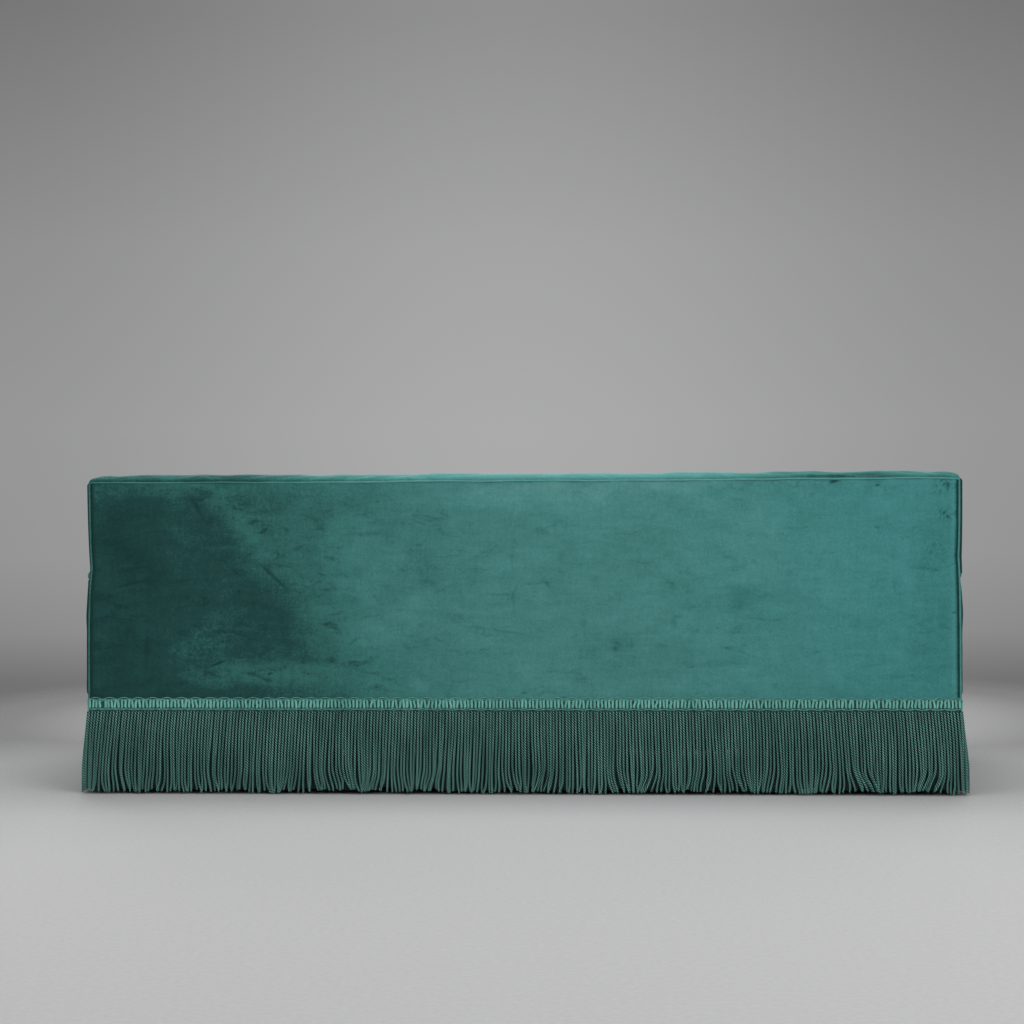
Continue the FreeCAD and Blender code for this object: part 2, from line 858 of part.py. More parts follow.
def arm_room():
    """The room that both arms take out of the inside back."""
    gap = size("gap")
    foot = size("deck_level")
    beyond = size("body_width") / 2 + size("gap")
    chain = arm_chain(-gap, foot)
    wire = closed_wire(chain, [Vector(beyond, 0, last_point(chain).z), Vector(beyond, 0, foot)])
    left = along_arm(wire, 0, size("body_depth") / 2)
    return Part.makeCompound([left, mirrored(left)])


def build_back():
    """Inside back pad and cover with their tufts, the side borders, the back piping and the buttons."""
    gap = size("gap")
    velvet = size("velvet")
    half_width = size("body_width") / 2
    half_depth = size("body_depth") / 2
    back_plane = half_depth - velvet - size("liner") - size("timber") - 2 * size("webbing") - gap
    rail_top = size("back_post_top") + gap
    pad_wires = []
    cover_wires = []
    for x, rise in back_stations():
        outer = back_chain(x, 0, rise)
        inner = back_chain(x, velvet, rise)
        cover_wires.append(band_wire(outer, inner))
        rear = last_point(inner)
        corners = [
            Vector(x, rear.y, rail_top),
            Vector(x, back_plane, rail_top),
            Vector(x, back_plane, first_point(inner).z),
        ]
        pad_wires.append(closed_wire(inner, corners))

    seats, facing = tuft_places()
    radius = size("tuft_radius")
    centres = [seat + facing * radius for seat in seats]
    dents = Part.makeCompound([Part.makeSphere(radius, centre) for centre in centres])
    deep_dents = Part.makeCompound([Part.makeSphere(radius + velvet, centre) for centre in centres])
    arms = arm_room()
    node(feature("inside_back_cover", Part.makeLoft(cover_wires, True, True).cut([arms, dents])))
    node(feature("inside_back_pad", Part.makeLoft(pad_wires, True, True).cut([arms, deep_dents])))

    side = size("side_border")
    start = half_width - side
    chain = back_chain(start, 0, size("back_crown_end"))
    rear = Vector(start, half_depth - velvet, first_point(chain).z)
    slab = Part.Face(closed_wire(chain, [rear])).extrude(X * side)
    seam_top = size("arm_seam_height") + size("piping_radius") + 2 * gap
    room = Part.makeBox(half_width, half_depth - size("piping_radius") - gap, half_width, Vector(0, 0, seam_top))
    border = slab.common(room)
    group("back_side_borders", [border, mirrored(border)])

    corner = size("back_corner")
    seam = size("seam_height")
    foot = size("gimp_base") + size("gimp_height") + gap
    diagonal = corner * (1 - math.sqrt(0.5))
    inside = half_width - corner
    below = seam - corner
    bend = half_width - diagonal
    path = edges_along(
        Vector(half_width, half_depth, foot),
        [
            (Vector(half_width, half_depth, below),),
            (Vector(bend, half_depth, seam - diagonal), Vector(inside, half_depth, seam)),
            (Vector(-inside, half_depth, seam),),
            (Vector(-bend, half_depth, seam - diagonal), Vector(-half_width, half_depth, below)),
            (Vector(-half_width, half_depth, foot),),
        ],
    )
    node(feature("back_piping", tube(path, size("piping_radius"))))

    button = turned(
        "button",
        [
            ("0", "0"),
            ("button_radius", "0"),
            ("button_radius", "button_edge"),
            ("0.7*button_radius", "button_height - 1"),
            ("0", "button_height"),
        ],
    ).Shape
    lift = radius - math.sqrt(radius**2 - size("button_radius") ** 2) + gap
    buttons = [placed(button, seat + facing * lift, FreeCAD.Rotation(Z, facing)) for seat in seats]
    side_spot = Vector(half_width + gap, half_depth - size("side_button_inset"), size("arm_seam_height"))
    side_button = placed(button, side_spot, FreeCAD.Rotation(Z, X))
    group("covered_buttons", buttons + [side_button, mirrored(side_button)])


def fringe(label, half_run, reach, turn):
    """Hanging cords of one side, as a ribbed skirt that flares to the floor with mitred ends."""
    swell = size("cord_swell")
    cords = round(2 * half_run / size("cord_pitch"))
    belly_depth = size("fringe_foot_depth")
    flare = size("fringe_flare")
    gap = size("gap")
    levels = (
        (size("gimp_base") - gap, gap, size("fringe_head_depth")),
        (size("fringe_belly_level"), flare, belly_depth),
        (size("fringe_foot"), flare, belly_depth),
    )
    wires = []
    for level, near, depth in levels:
        far = near + depth
        end = half_run + far - gap / 2
        inner_end = half_run + near - gap / 2
        step = 2 * end / cords
        ribs = []
        for cord in range(cords):
            x = -end + cord * step
            ribs.append((Vector(x + step / 2, reach + far + swell, level), Vector(x + step, reach + far, level)))
        face = edges_along(Vector(-end, reach + far, level), ribs)
        wires.append(closed_wire(face, [Vector(inner_end, reach + near, level), Vector(-inner_end, reach + near, level)]))
    skirt = Part.makeLoft(wires, True, True)
    node(feature(label, placed(skirt, ORIGIN, FreeCAD.Rotation(Z, turn))))


def build_trim():
    """The gimp braid and the fringe on all four sides."""
    wide = "(body_width/2 + gap + gimp_thickness)"
    upright = ("gimp_height",)
    long_sizes = (f"2*{wide}", "gimp_thickness", *upright)
    node(
        compound(
            "gimp_braid",
            [
                box("gimp_back", long_sizes, (f"-{wide}", "body_depth/2 + gap", "gimp_base")),
                box("gimp_front", long_sizes, (f"-{wide}", "-body_depth/2 - gap - gimp_thickness", "gimp_base")),
                both(
                    "gimp_sides",
                    ("gimp_thickness", "body_depth", *upright),
                    ("body_width/2 + gap", "-body_depth/2", "gimp_base"),
                ),
            ],
        )
    )
    half_width = size("body_width") / 2
    half_depth = size("body_depth") / 2
    fringe("fringe_back", half_width, half_depth, 0)
    fringe("fringe_right", half_depth, half_width, 90)
    fringe("fringe_front", half_width, half_depth, 180)
    fringe("fringe_left", half_depth, half_width, 270)


def cushion_solid(inset):
    """A seat cushion crowned on top, bulged in front and drawn in between its corners."""
    base = size("deck_level") + size("velvet") + size("gap")
    low = base + inset
    high = base + size("cushion_height") - inset
    reach = size("cushion_half_width") - inset
    back = size("cushion_back") - inset
    wires = []
    for share in (-1, -0.9, -0.6, 0, 0.6, 0.9, 1):
        drawn = size("cushion_draw") * (1 - share**2)
        front = inset - size("cushion_front") + drawn
        rear = back - drawn
        fullness = size("cushion_end_crown") + (size("cushion_crown") - size("cushion_end_crown")) * (1 - share**4)
        x = share * reach
        steps = [
            (Vector(x, front - size("cushion_bulge"), (low + high) / 2), Vector(x, front, high)),
            (Vector(x, (front + rear) / 2, high + fullness), Vector(x, rear, high)),
        ]
        wires.append(closed_wire(edges_along(Vector(x, front, low), steps), [Vector(x, rear, low)]))
    block = Part.makeLoft(wires, True, False)
    upright = [edge for edge in block.Edges if edge.BoundBox.XLength < 1 and edge.BoundBox.YLength < reach / 2]
    return block.makeFillet(size("cushion_corner") - size("piping_radius") - 2 * size("gap") - inset, upright)


def cushion_piping():
    """The two loops of piping round a cushion's upper and lower seams."""
    radius = size("piping_radius")
    clear = radius + 2 * size("gap")
    reach = size("cushion_half_width") + clear
    front = -size("cushion_front") - clear
    back = size("cushion_back") + clear
    corner = size("cushion_corner")
    diagonal = corner * (1 - math.sqrt(0.5))
    base = size("deck_level") + size("velvet") + size("gap")
    loops = []
    for level in (base + radius, base + size("cushion_height") - radius):
        steps = [
            (Vector(reach - corner, front, level),),
            (Vector(reach - diagonal, front + diagonal, level), Vector(reach, front + corner, level)),
            (Vector(reach, back - corner, level),),
            (Vector(reach - diagonal, back - diagonal, level), Vector(reach - corner, back, level)),
            (Vector(corner - reach, back, level),),
            (Vector(diagonal - reach, back - diagonal, level), Vector(-reach, back - corner, level)),
            (Vector(-reach, front + corner, level),),
            (Vector(diagonal - reach, front + diagonal, level), Vector(corner - reach, front, level)),
        ]
        loops.append(tube(edges_along(Vector(corner - reach, front, level), steps), radius))
    return Part.makeCompound(loops)


def build_cushions():
    """Three loose seat cushions, each a core, a cover round it and two loops of piping."""
    core = cushion_solid(size("velvet"))
    cover = cushion_solid(0).cut(core)
    piping = cushion_piping()
    places = spread(3, size("cushion_spacing"))
    for name, x in zip(("right", "centre", "left"), places):
        at = X * x
        node(feature(f"cushion_core_{name}", placed(core, at)))
        node(feature(f"cushion_cover_{name}", placed(cover, at)))
        node(feature(f"cushion_piping_{name}", placed(piping, at)))


def write_parts():
    """Checks every object and writes one file for each node."""
    doc.recompute()
    for piece in doc.Objects:
        if "Invalid" in piece.State or "Error" in piece.State:
            raise RuntimeError(f"{piece.Label} did not recompute")
    os.makedirs("parts", exist_ok=True)
    for piece in nodes:
        if piece.Shape.isNull() or not piece.Shape.isValid():
            raise RuntimeError(f"{piece.Label} has no valid shape")
        piece.Shape.exportStep(f"parts/{piece.Label}.step")


timbers, leg_spots = build_frame()
dust_cover(leg_spots)
build_suspension(timbers)
build_seat()
build_outside()
build_arms()
build_back()
build_trim()
build_cushions()
write_parts()
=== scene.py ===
import math

import bpy
import numpy as np
from mathutils import Matrix, Vector


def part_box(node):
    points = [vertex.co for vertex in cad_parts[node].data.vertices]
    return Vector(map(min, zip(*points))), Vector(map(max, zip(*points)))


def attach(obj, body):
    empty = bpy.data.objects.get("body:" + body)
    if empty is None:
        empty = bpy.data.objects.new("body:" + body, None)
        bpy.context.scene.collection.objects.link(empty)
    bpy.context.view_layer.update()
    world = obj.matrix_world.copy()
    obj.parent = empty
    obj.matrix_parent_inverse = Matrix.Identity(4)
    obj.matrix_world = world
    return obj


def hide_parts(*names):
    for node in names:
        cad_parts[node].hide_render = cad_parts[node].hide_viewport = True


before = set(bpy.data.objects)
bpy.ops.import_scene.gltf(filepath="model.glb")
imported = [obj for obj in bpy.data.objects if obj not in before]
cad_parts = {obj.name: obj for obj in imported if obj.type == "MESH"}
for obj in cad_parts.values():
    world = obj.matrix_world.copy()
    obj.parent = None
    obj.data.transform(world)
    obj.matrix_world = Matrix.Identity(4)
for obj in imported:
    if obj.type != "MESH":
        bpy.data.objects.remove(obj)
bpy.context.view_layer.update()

ROOT = "sofa_body"
SIDES = ((1, "left"), (-1, "right"))
FULL_TURN = 2 * math.pi

# Sizes taken from the CAD frame, in metres
BACK_LOW, BACK_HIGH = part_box("outside_back_cover")
CROWN_LOW, CROWN_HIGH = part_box("inside_back_cover")
ARM_LOW, ARM_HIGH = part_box("inside_arm_cover_left")
FACING_LOW, FACING_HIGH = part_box("arm_facing_left")
SIDE_LOW, SIDE_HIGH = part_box("outside_arm_cover_left")
BORDER_LOW, BORDER_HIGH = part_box("back_side_borders")
FRONT_LOW, FRONT_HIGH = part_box("front_border_cover")
DECK_LOW, DECK_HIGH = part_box("seat_deck_cover")
BRAID_LOW, BRAID_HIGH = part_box("gimp_braid")
HALF_WIDTH = SIDE_HIGH.x
HALF_DEPTH = BACK_HIGH.y

# Sizes of covers, seams, piping and buttons
COVER_THICKNESS = 0.0025
UNDER_BRAID = 0.0006
PIPING_RADIUS = 0.0027
PIPING_SIDES = 12
PIPING_STEP = 0.004
PIPING_SUNK = 0.0006
SEAM_INSET = 0.0025
SEAM_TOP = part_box("back_piping")[1].z - SEAM_INSET
SEAM_CORNER = 0.006
SEAM_HALF = HALF_WIDTH - SEAM_INSET
BUTTON_HEIGHT = 0.552
PINCH_HEIGHT = 0.568
TUFT_HEIGHT = 0.640
TUFTS = [(side * place, TUFT_HEIGHT) for place in (0.15, 0.45, 0.75) for side in (1, -1)]
WAVE_COUNT = 28
# A direction that no tube follows
ASLANT = (0.31, 0.52, 0.79)


# Numbers and meshes

def smooth(low, high, value):
    """0 below low, 1 above high, and an easy slope between."""
    share = np.clip((value - low) / (high - low), 0, 1)
    return share * share * (3 - 2 * share)


def bell(value, width, power=2):
    """1 at a value of 0, falling away on both sides; a power of 1 makes it pointed, a high one flat."""
    return np.exp(-(np.abs(value / width) ** power))


def waves(seed, shortest, longest, first, second=0.0):
    """Smooth seeded unevenness of about unit height over one or two coordinates."""
    dice = np.random.default_rng(seed)
    total = 0.0
    for _ in range(WAVE_COUNT):
        length = dice.uniform(shortest, longest)
        turn = dice.uniform(0, FULL_TURN)
        phase = dice.uniform(0, FULL_TURN)
        along = first * math.cos(turn) + second * math.sin(turn)
        total = total + np.sin(FULL_TURN * along / length + phase)
    return total / math.sqrt(WAVE_COUNT / 2)


def graded(low, high, count, fine, fine_count):
    """Even steps between two ends, with finer steps within a short way of each end."""
    begin = np.linspace(low, low + fine, fine_count, endpoint=False)
    end = np.linspace(high, high - fine, fine_count, endpoint=False)
    return np.concatenate([begin, np.linspace(low + fine, high - fine, count), end[::-1]])


def vectors(*parts):
    """Points or directions from their coordinates, each an array or one number for all."""
    return np.stack(np.broadcast_arrays(*parts), axis=-1)


def at_height(level, height):
    """Level points or directions with their height added."""
    return vectors(level[..., 0], level[..., 1], height)


def unit(arrows):
    """The same directions with a length of 1."""
    return arrows / np.linalg.norm(arrows, axis=-1, keepdims=True)


def ring_angles(count):
    """Even angles once round."""
    return np.linspace(0, FULL_TURN, count, endpoint=False)


def heading(degrees):
    """A flat direction at an angle in degrees."""
    return np.array((math.cos(math.radians(degrees)), math.sin(math.radians(degrees))))


def arc(centre, radius, first, last, count):
    """Points of a flat arc between two angles in degrees, without the last one."""
    angle = np.radians(np.linspace(first, last, count, endpoint=False))
    return vectors(centre[0] + radius * np.cos(angle), centre[1] + radius * np.sin(angle))


def curve_between(start, start_heading, end, end_heading, count):
    """Points of a cubic from start to end with these headings, without the last one."""
    share = np.linspace(0, 1, count, endpoint=False)[:, None]
    start, start_heading, end, end_heading = map(np.array, (start, start_heading, end, end_heading))
    return (
        (1 + 2 * share) * (1 - share) ** 2 * start
        + share * (1 - share) ** 2 * start_heading
        + share**2 * (3 - 2 * share) * end
        + share**2 * (share - 1) * end_heading
    )


def quads(rows, columns, round_columns=False):
    """Corner numbers of the faces of a grid, whose columns may close into rings."""
    spans = columns if round_columns else columns - 1
    row, column = np.meshgrid(np.arange(rows - 1), np.arange(spans), indexing="ij")
    after = (column + 1) % columns
    near = row * columns
    far = near + columns
    return vectors(near + column, near + after, far + after, far + column).reshape(-1, 4)


def end_caps(rows, columns):
    """Corner numbers of the first and the last ring as faces."""
    ring = np.arange(columns)
    return np.stack([ring[::-1], (rows - 1) * columns + ring])


def joined(parts):
    """One set of points and faces from several."""
    points = []
    faces = []
    start = 0
    for part_points, part_faces in parts:
        points.append(part_points)
        faces.extend(group + start for group in part_faces)
        start += len(part_points)
    return np.concatenate(points), faces


def flat_numbers(values, kind):
    """Values in one row, ready for a mesh."""
    return np.ascontiguousarray(values, dtype=kind).ravel()


def piece(name, points, face_groups, material, slot, body=ROOT, sharp=50, shade=None):
    """An object from points and groups of faces on a CAD body, with a value for each point to paint shade
    with if given.
    """
    mesh = bpy.data.meshes.new(name)
    counts = np.concatenate([np.full(len(group), group.shape[1]) for group in face_groups])
    corners = np.concatenate([group.ravel() for group in face_groups])
    starts = np.concatenate([[0], np.cumsum(counts)[:-1]])
    mesh.vertices.add(len(points))
    mesh.vertices.foreach_set("co", flat_numbers(points, np.float32))
    mesh.loops.add(len(corners))
    mesh.loops.foreach_set("vertex_index", flat_numbers(corners, np.int32))
    mesh.polygons.add(len(counts))
    mesh.polygons.foreach_set("loop_start", flat_numbers(starts, np.int32))
    mesh.update(calc_edges=True)
    mesh.shade_smooth()
    if sharp:
        mesh.set_sharp_from_angle(angle=math.radians(sharp))
    mesh.materials.append(material)
    if shade is not None:
        layer = mesh.attributes.new("shade", "FLOAT", "POINT")
        layer.data.foreach_set("value", flat_numbers(shade, np.float32))
    made = bpy.data.objects.new(name, mesh)
    bpy.context.scene.collection.objects.link(made)
    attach(made, body)
    return made


def turned_out(points, face_groups):
    """The same faces with their corners in the order that points the faces outwards."""
    volume = 0
    for group in face_groups:
        for last in range(2, group.shape[1]):
            first, second, third = (points[group[:, k]] for k in (0, last - 1, last))
            volume += np.sum(first * np.cross(second, third))
    if volume >= 0:
        return points, face_groups
    return points, [group[:, ::-1] for group in face_groups]


def slab(front, thickness):
    """A closed sheet: a grid of points and its copy moved by the thickness, joined along the rim."""
    rows, columns = front.shape[:2]
    count = rows * columns
    index = np.arange(count).reshape(rows, columns)
    rim = np.concatenate([index[0, :-1], index[:-1, -1], index[-1, :0:-1], index[:0:-1, 0]])
    after = np.roll(rim, -1)
    strip = vectors(after, rim, rim + count, after + count)
    face = quads(rows, columns)
    points = front.reshape(-1, 3)
    points = np.concatenate([points, points + np.array(thickness)])
    return turned_out(points, [face, face[:, ::-1] + count, strip])


def loft(rings):
    """A closed form through rings of points, with a cap at each end."""
    rows, columns = rings.shape[:2]
    return turned_out(rings.reshape(-1, 3), [quads(rows, columns, True), end_caps(rows, columns)])


def hoop(rings):
    """A closed form through rings of points, the last joined to the first."""
    rows, columns = rings.shape[:2]
    wall = quads(rows + 1, columns, True) % (rows * columns)
    return turned_out(rings.reshape(-1, 3), [wall])


def tube(path, radius, sides=PIPING_SIDES, closed=False):
    """A round tube along points; radius is one number or one for each point."""
    path = np.asarray(path, dtype=float)
    ahead = np.roll(path, -1, axis=0) - np.roll(path, 1, axis=0)
    if not closed:
        ahead[0] = path[1] - path[0]
        ahead[-1] = path[-1] - path[-2]
    ahead = unit(ahead)
    normals = np.zeros_like(path)
    start = np.cross(ahead[0], ASLANT)
    for k in range(len(path)):
        start = start - ahead[k] * np.dot(start, ahead[k])
        start = start / np.linalg.norm(start)
        normals[k] = start
    across = np.cross(ahead, normals)
    angle = ring_angles(sides)[None, :, None]
    size = np.broadcast_to(radius, len(path))[:, None, None]
    rings = path[:, None] + size * (np.cos(angle) * normals[:, None] + np.sin(angle) * across[:, None])
    return hoop(rings) if closed else loft(rings)


def mirrored(part):
    """The same part on the other side of the sofa."""
    points, faces = part
    return points * (-1, 1, 1), [group[:, ::-1] for group in faces]


# Materials

class Nodes:
    """Short ways to add and link the nodes of a tree."""

    def __init__(self, tree, coordinates):
        self.tree = tree
        self.coordinates = self.node("TexCoord").outputs[coordinates]

    def node(self, kind, settings=None, inputs=None):
        made = self.tree.nodes.new("ShaderNode" + kind)
        for key, value in (settings or {}).items():
            setattr(made, key, value)
        for key, value in (inputs or {}).items():
            self.feed(made.inputs[key], value)
        return made

    def feed(self, socket, value):
        if isinstance(value, bpy.types.NodeSocket):
            self.tree.links.new(value, socket)
        else:
            socket.default_value = value

    def math(self, operation, first, second=0.0, third=0.0):
        made = self.node("Math", {"operation": operation}, {0: first, 1: second, 2: third})
        return made.outputs[0]

    def vector(self, operation, *values):
        """Vector maths; a dot product and a distance give a number."""
        made = self.node("VectorMath", {"operation": operation}, dict(enumerate(values)))
        return made.outputs["Value" if operation in ("DOT_PRODUCT", "DISTANCE") else "Vector"]

    def part(self, place, axis):
        return self.node("SeparateXYZ", None, {0: place}).outputs[axis]

    def ranged(self, value, low, high, to_low=0.0, to_high=1.0):
        settings = {"interpolation_type": "SMOOTHSTEP"}
        inputs = {"Value": value, "From Min": low, "From Max": high, "To Min": to_low, "To Max": to_high}
        return self.node("MapRange", settings, inputs).outputs["Result"]

    def ramp(self, value, stops):
        made = self.node("ValToRGB", None, {"Fac": value})
        elements = made.color_ramp.elements
        while len(elements) < len(stops):
            elements.new(0.5)
        for element, (place, colour) in zip(elements, stops):
            element.position = place
            element.color = (*colour, 1)
        return made.outputs["Color"]

    def blend(self, share, first, second, output):
        """Sends a blend of two shaders to the output."""
        made = self.node("MixShader", None, {0: share, 1: first.outputs[0], 2: second.outputs[0]})
        self.feed(self.tree.nodes[output].inputs["Surface"], made.outputs[0])


class Surface(Nodes):
    """A material with one shader, and the textures that feed it."""

    def __init__(self, name, constants):
        self.material = bpy.data.materials.new(name)
        self.material.use_nodes = True
        super().__init__(self.material.node_tree, "Object")
        self.shader = self.tree.nodes["Principled BSDF"]
        for socket, value in constants.items():
            self.shader.inputs[socket].default_value = value

    def noise(self, scale, detail=4, stretch=(1, 1, 1), roughness=0.55, distortion=0.0):
        place = self.node("Mapping", None, {"Vector": self.coordinates, "Scale": stretch})
        inputs = {
            "Vector": place.outputs[0],
            "Scale": scale,
            "Detail": detail,
            "Roughness": roughness,
            "Distortion": distortion,
        }
        return self.node("TexNoise", None, inputs).outputs["Fac"]

    def bands(self, scale, direction, distortion):
        settings = {"wave_type": "BANDS", "bands_direction": direction}
        inputs = {"Vector": self.coordinates, "Scale": scale, "Distortion": distortion}
        return self.node("TexWave", settings, inputs).outputs["Fac"]

    def ball(self, place, middle, size, turn=0.0):
        """A soft ball, 1 in its middle and 0 at its rim."""
        inputs = {"Vector": place, "Location": middle, "Rotation": (0, turn, 0), "Scale": size}
        moved = self.node("Mapping", {"vector_type": "TEXTURE"}, inputs).outputs[0]
        return self.node("TexGradient", {"gradient_type": "SPHERICAL"}, {"Vector": moved}).outputs["Fac"]

    def add(self, base, share, amount):
        """The base with an amount of the share added."""
        return self.math("MULTIPLY_ADD", share, amount, base)

    def vary(self, base, *layers):
        """The base made lighter and darker by layers of a noise and an amount."""
        for noise, amount in layers:
            base = self.add(base, self.math("SUBTRACT", noise, 0.5), amount)
        return base

    def shade(self):
        """The value that the mesh holds for each point to paint shade with."""
        return self.node("Attribute", {"attribute_name": "shade"}).outputs["Fac"]

    def mix(self, share, first, second, blend="MIX"):
        settings = {"data_type": "RGBA", "blend_type": blend}
        return self.node("Mix", settings, {0: share, 6: first, 7: second}).outputs[2]

    def bump(self, height, distance, strength=1.0, under=None):
        inputs = {"Height": height, "Distance": distance, "Strength": strength}
        if under is not None:
            inputs["Normal"] = under
        return self.node("Bump", None, inputs).outputs["Normal"]

    def wear(self, colour, roughness=None, normal=None):
        """Feeds the finished colour, roughness and normal to the shader."""
        for socket, value in (("Base Color", colour), ("Roughness", roughness), ("Normal", normal)):
            if value is not None:
                self.feed(self.shader.inputs[socket], value)
        return self.material


VELVET_STOPS = (
    (0.06, (0.0065, 0.042, 0.038)),
    (0.24, (0.0125, 0.066, 0.060)),
    (0.52, (0.040, 0.172, 0.156)),
    (0.72, (0.066, 0.235, 0.222)),
    (0.95, (0.125, 0.310, 0.292)),
)
COOL_TINT = (0.78, 0.99, 1.03)
# Lightness of the outside back on its right, its change towards the left and past a slanting line
BACK_LEVEL = 0.65
BACK_FALL = -0.415
BACK_DARK = -0.075
BACK_SLANT = (1, 0, -0.77)
VELVET_SHEEN = 0.35
VELVET_SHADER = {
    "Roughness": 0.82,
    "Sheen Roughness": 0.38,
    "Sheen Tint": (0.62, 0.86, 0.83, 1),
    "Specular IOR Level": 0.18,
}


def velvet_surface(name, sheen=VELVET_SHEEN):
    return Surface(name, {**VELVET_SHADER, "Sheen Weight": sheen})


def velvet_nap_and_shade(surface, level, broad=1.0, streaks=1.0, fine=1.0):
    """How light the velvet is coloured, from dark at 0 to light at 1: the pile in broad patches, brushing and
    speckle, scuffs, and the painted shade that the mesh holds.
    """
    nap_and_shade = surface.vary(
        level,
        (surface.noise(2.1, 3, (1, 1, 1.3), 0.5, 0.6), 0.16 * broad),
        (surface.noise(8.5, 5, (1, 1, 1.15), 0.62, 0.9), 0.26 * broad),
        (surface.noise(34, 5, (0.4, 0.4, 1.5), 0.66, 0.5), 0.20 * streaks),
        (surface.noise(70, 4, (1.6, 1.6, 0.35), 0.6), 0.12 * streaks),
        (surface.noise(210, 3, (1, 1, 1), 0.7), 0.22 * fine),
    )
    scuffs = surface.ranged(surface.noise(24, 7, (0.55, 0.8, 1.4), 0.7, 0.6), 0.545, 0.71)
    # The painted shade that the mesh holds is taken off the pile's lightness.
    return surface.math("SUBTRACT", surface.add(nap_and_shade, scuffs, -0.09 * fine), surface.shade())


def velvet_finish(surface, nap_and_shade, tint_share=None):
    """Colour, roughness and pile for a value of nap and painted shade, with a cooler tint where the share
    asks for it.
    """
    colour = surface.ramp(nap_and_shade, VELVET_STOPS)
    if tint_share is not None:
        colour = surface.mix(tint_share, colour, (*COOL_TINT, 1), "MULTIPLY")
    pile = surface.noise(1500, 2, (1, 1, 0.45), 0.6)
    rolls = surface.noise(46, 4, (0.6, 0.6, 1.2), 0.6)
    normal = surface.bump(pile, 0.0004, 0.35, surface.bump(rolls, 0.0012, 0.35))
    return surface.wear(colour, surface.ranged(nap_and_shade, 0.2, 0.8, 0.92, 0.76), normal)


def velvet(name, level, changes=(), sheen=VELVET_SHEEN):
    """Velvet made lighter or darker in places: which axis, from, to, amount."""
    surface = velvet_surface(name, sheen)
    for axis, begin, end, amount in changes:
        place = surface.part(surface.coordinates, axis)
        level = surface.add(level, surface.ranged(place, begin, end), amount)
    return velvet_finish(surface, velvet_nap_and_shade(surface, level))


def stroke(surface, place, middle, half_length, half_width, degrees):
    """A soft mark on the outside back, strongest in its middle: a brush mark, a rub or the painted shade
    along a crease.
    """
    middle = (middle[0], HALF_DEPTH, middle[1])
    ball = surface.ball(place, middle, (half_length, 1.0, half_width), math.radians(degrees))
    return surface.ranged(ball, 0.0, 0.85)


def brushed_back():
    """The outside back: brushed dark on the left with a slanting edge, with marks, rubs, and painted shade
    along its creases.
    """
    surface = velvet_surface("velvet_outside_back")
    wander = surface.node("TexNoise", None, {"Vector": surface.coordinates, "Scale": 6.0, "Detail": 5.0})
    shift = surface.vector("MULTIPLY_ADD", wander.outputs["Color"], (0.08,) * 3, (-0.04,) * 3)
    place = surface.vector("ADD", surface.coordinates, shift)
    across = surface.part(place, "X")
    level = surface.add(BACK_LEVEL, surface.ranged(across, -0.10, 1.06), BACK_FALL)
    slant = surface.vector("DOT_PRODUCT", place, BACK_SLANT)
    level = surface.add(level, surface.ranged(slant, 0.13, 0.29), BACK_DARK)
    for *mark, amount in BACK_STROKES:
        level = surface.add(level, stroke(surface, place, *mark), amount)
    swirl = surface.ranged(surface.noise(42, 4, (1, 1, 1), 0.6, 2.4), 0.47, 0.62)
    for *mark, amount in BACK_RUBS:
        rub = surface.math("MULTIPLY", stroke(surface, surface.coordinates, *mark), swirl)
        level = surface.add(level, rub, amount)
    ripple = surface.node("VectorMath", {"operation": "SCALE"}, {0: shift, "Scale": 0.12})
    near = surface.vector("ADD", surface.coordinates, ripple.outputs[0])
    # Painted shade: each crease is coloured darker along its line.
    for start, end, width, _, amount in BACK_CREASES:
        run = (end[0] - start[0], end[1] - start[1])
        middle = (start[0] + 0.5 * run[0], start[1] + 0.5 * run[1])
        slope = -math.degrees(math.atan2(run[1], run[0]))
        mark = stroke(surface, near, middle, 0.6 * math.hypot(*run), 1.3 * width, slope)
        level = surface.add(level, mark, amount)
    nap_and_shade = velvet_nap_and_shade(surface, level, 0.85, 1.2, 1.7)
    return velvet_finish(surface, nap_and_shade, surface.ranged(across, -0.25, -1.0))


# Short creases in the outside back: from x and z, to x and z, width, depth, lightness of their painted shade
BACK_CREASES = [
    ((1.034, 0.559), (0.941, 0.577), 0.0040, 0.0016, -0.16),
    ((1.046, 0.520), (0.932, 0.545), 0.0040, 0.0014, -0.13),
    ((0.791, 0.321), (0.745, 0.337), 0.0032, 0.0020, -0.30),
    ((0.644, 0.301), (0.629, 0.306), 0.0030, 0.0012, -0.24),
    ((0.844, 0.764), (0.798, 0.685), 0.0070, 0.0014, -0.12),
    ((0.670, 0.594), (0.586, 0.512), 0.0060, 0.0012, -0.12),
    ((0.950, 0.436), (0.952, 0.308), 0.0080, 0.0012, -0.08),
    ((-1.050, 0.560), (-0.930, 0.575), 0.0050, 0.0012, -0.06),
    ((-0.550, 0.370), (-0.500, 0.368), 0.0040, 0.0010, -0.12),
    ((-0.600, 0.330), (-0.400, 0.320), 0.0060, 0.0010, -0.06),
    ((-0.460, 0.385), (-0.620, 0.336), 0.0040, 0.0008, -0.07),
    ((-0.928, 0.550), (-0.942, 0.494), 0.0040, 0.0008, -0.07),
    ((0.094, 0.505), (0.006, 0.500), 0.0040, 0.0007, -0.09),
    ((0.082, 0.415), (-0.012, 0.402), 0.0040, 0.0008, -0.10),
    ((0.055, 0.416), (0.018, 0.424), 0.0030, 0.0006, -0.08),
    ((0.437, 0.374), (0.400, 0.400), 0.0060, 0.0008, -0.10),
    ((0.309, 0.392), (0.268, 0.352), 0.0050, 0.0006, -0.07),
    ((-0.060, 0.537), (-0.078, 0.515), 0.0050, 0.0006, -0.14),
]
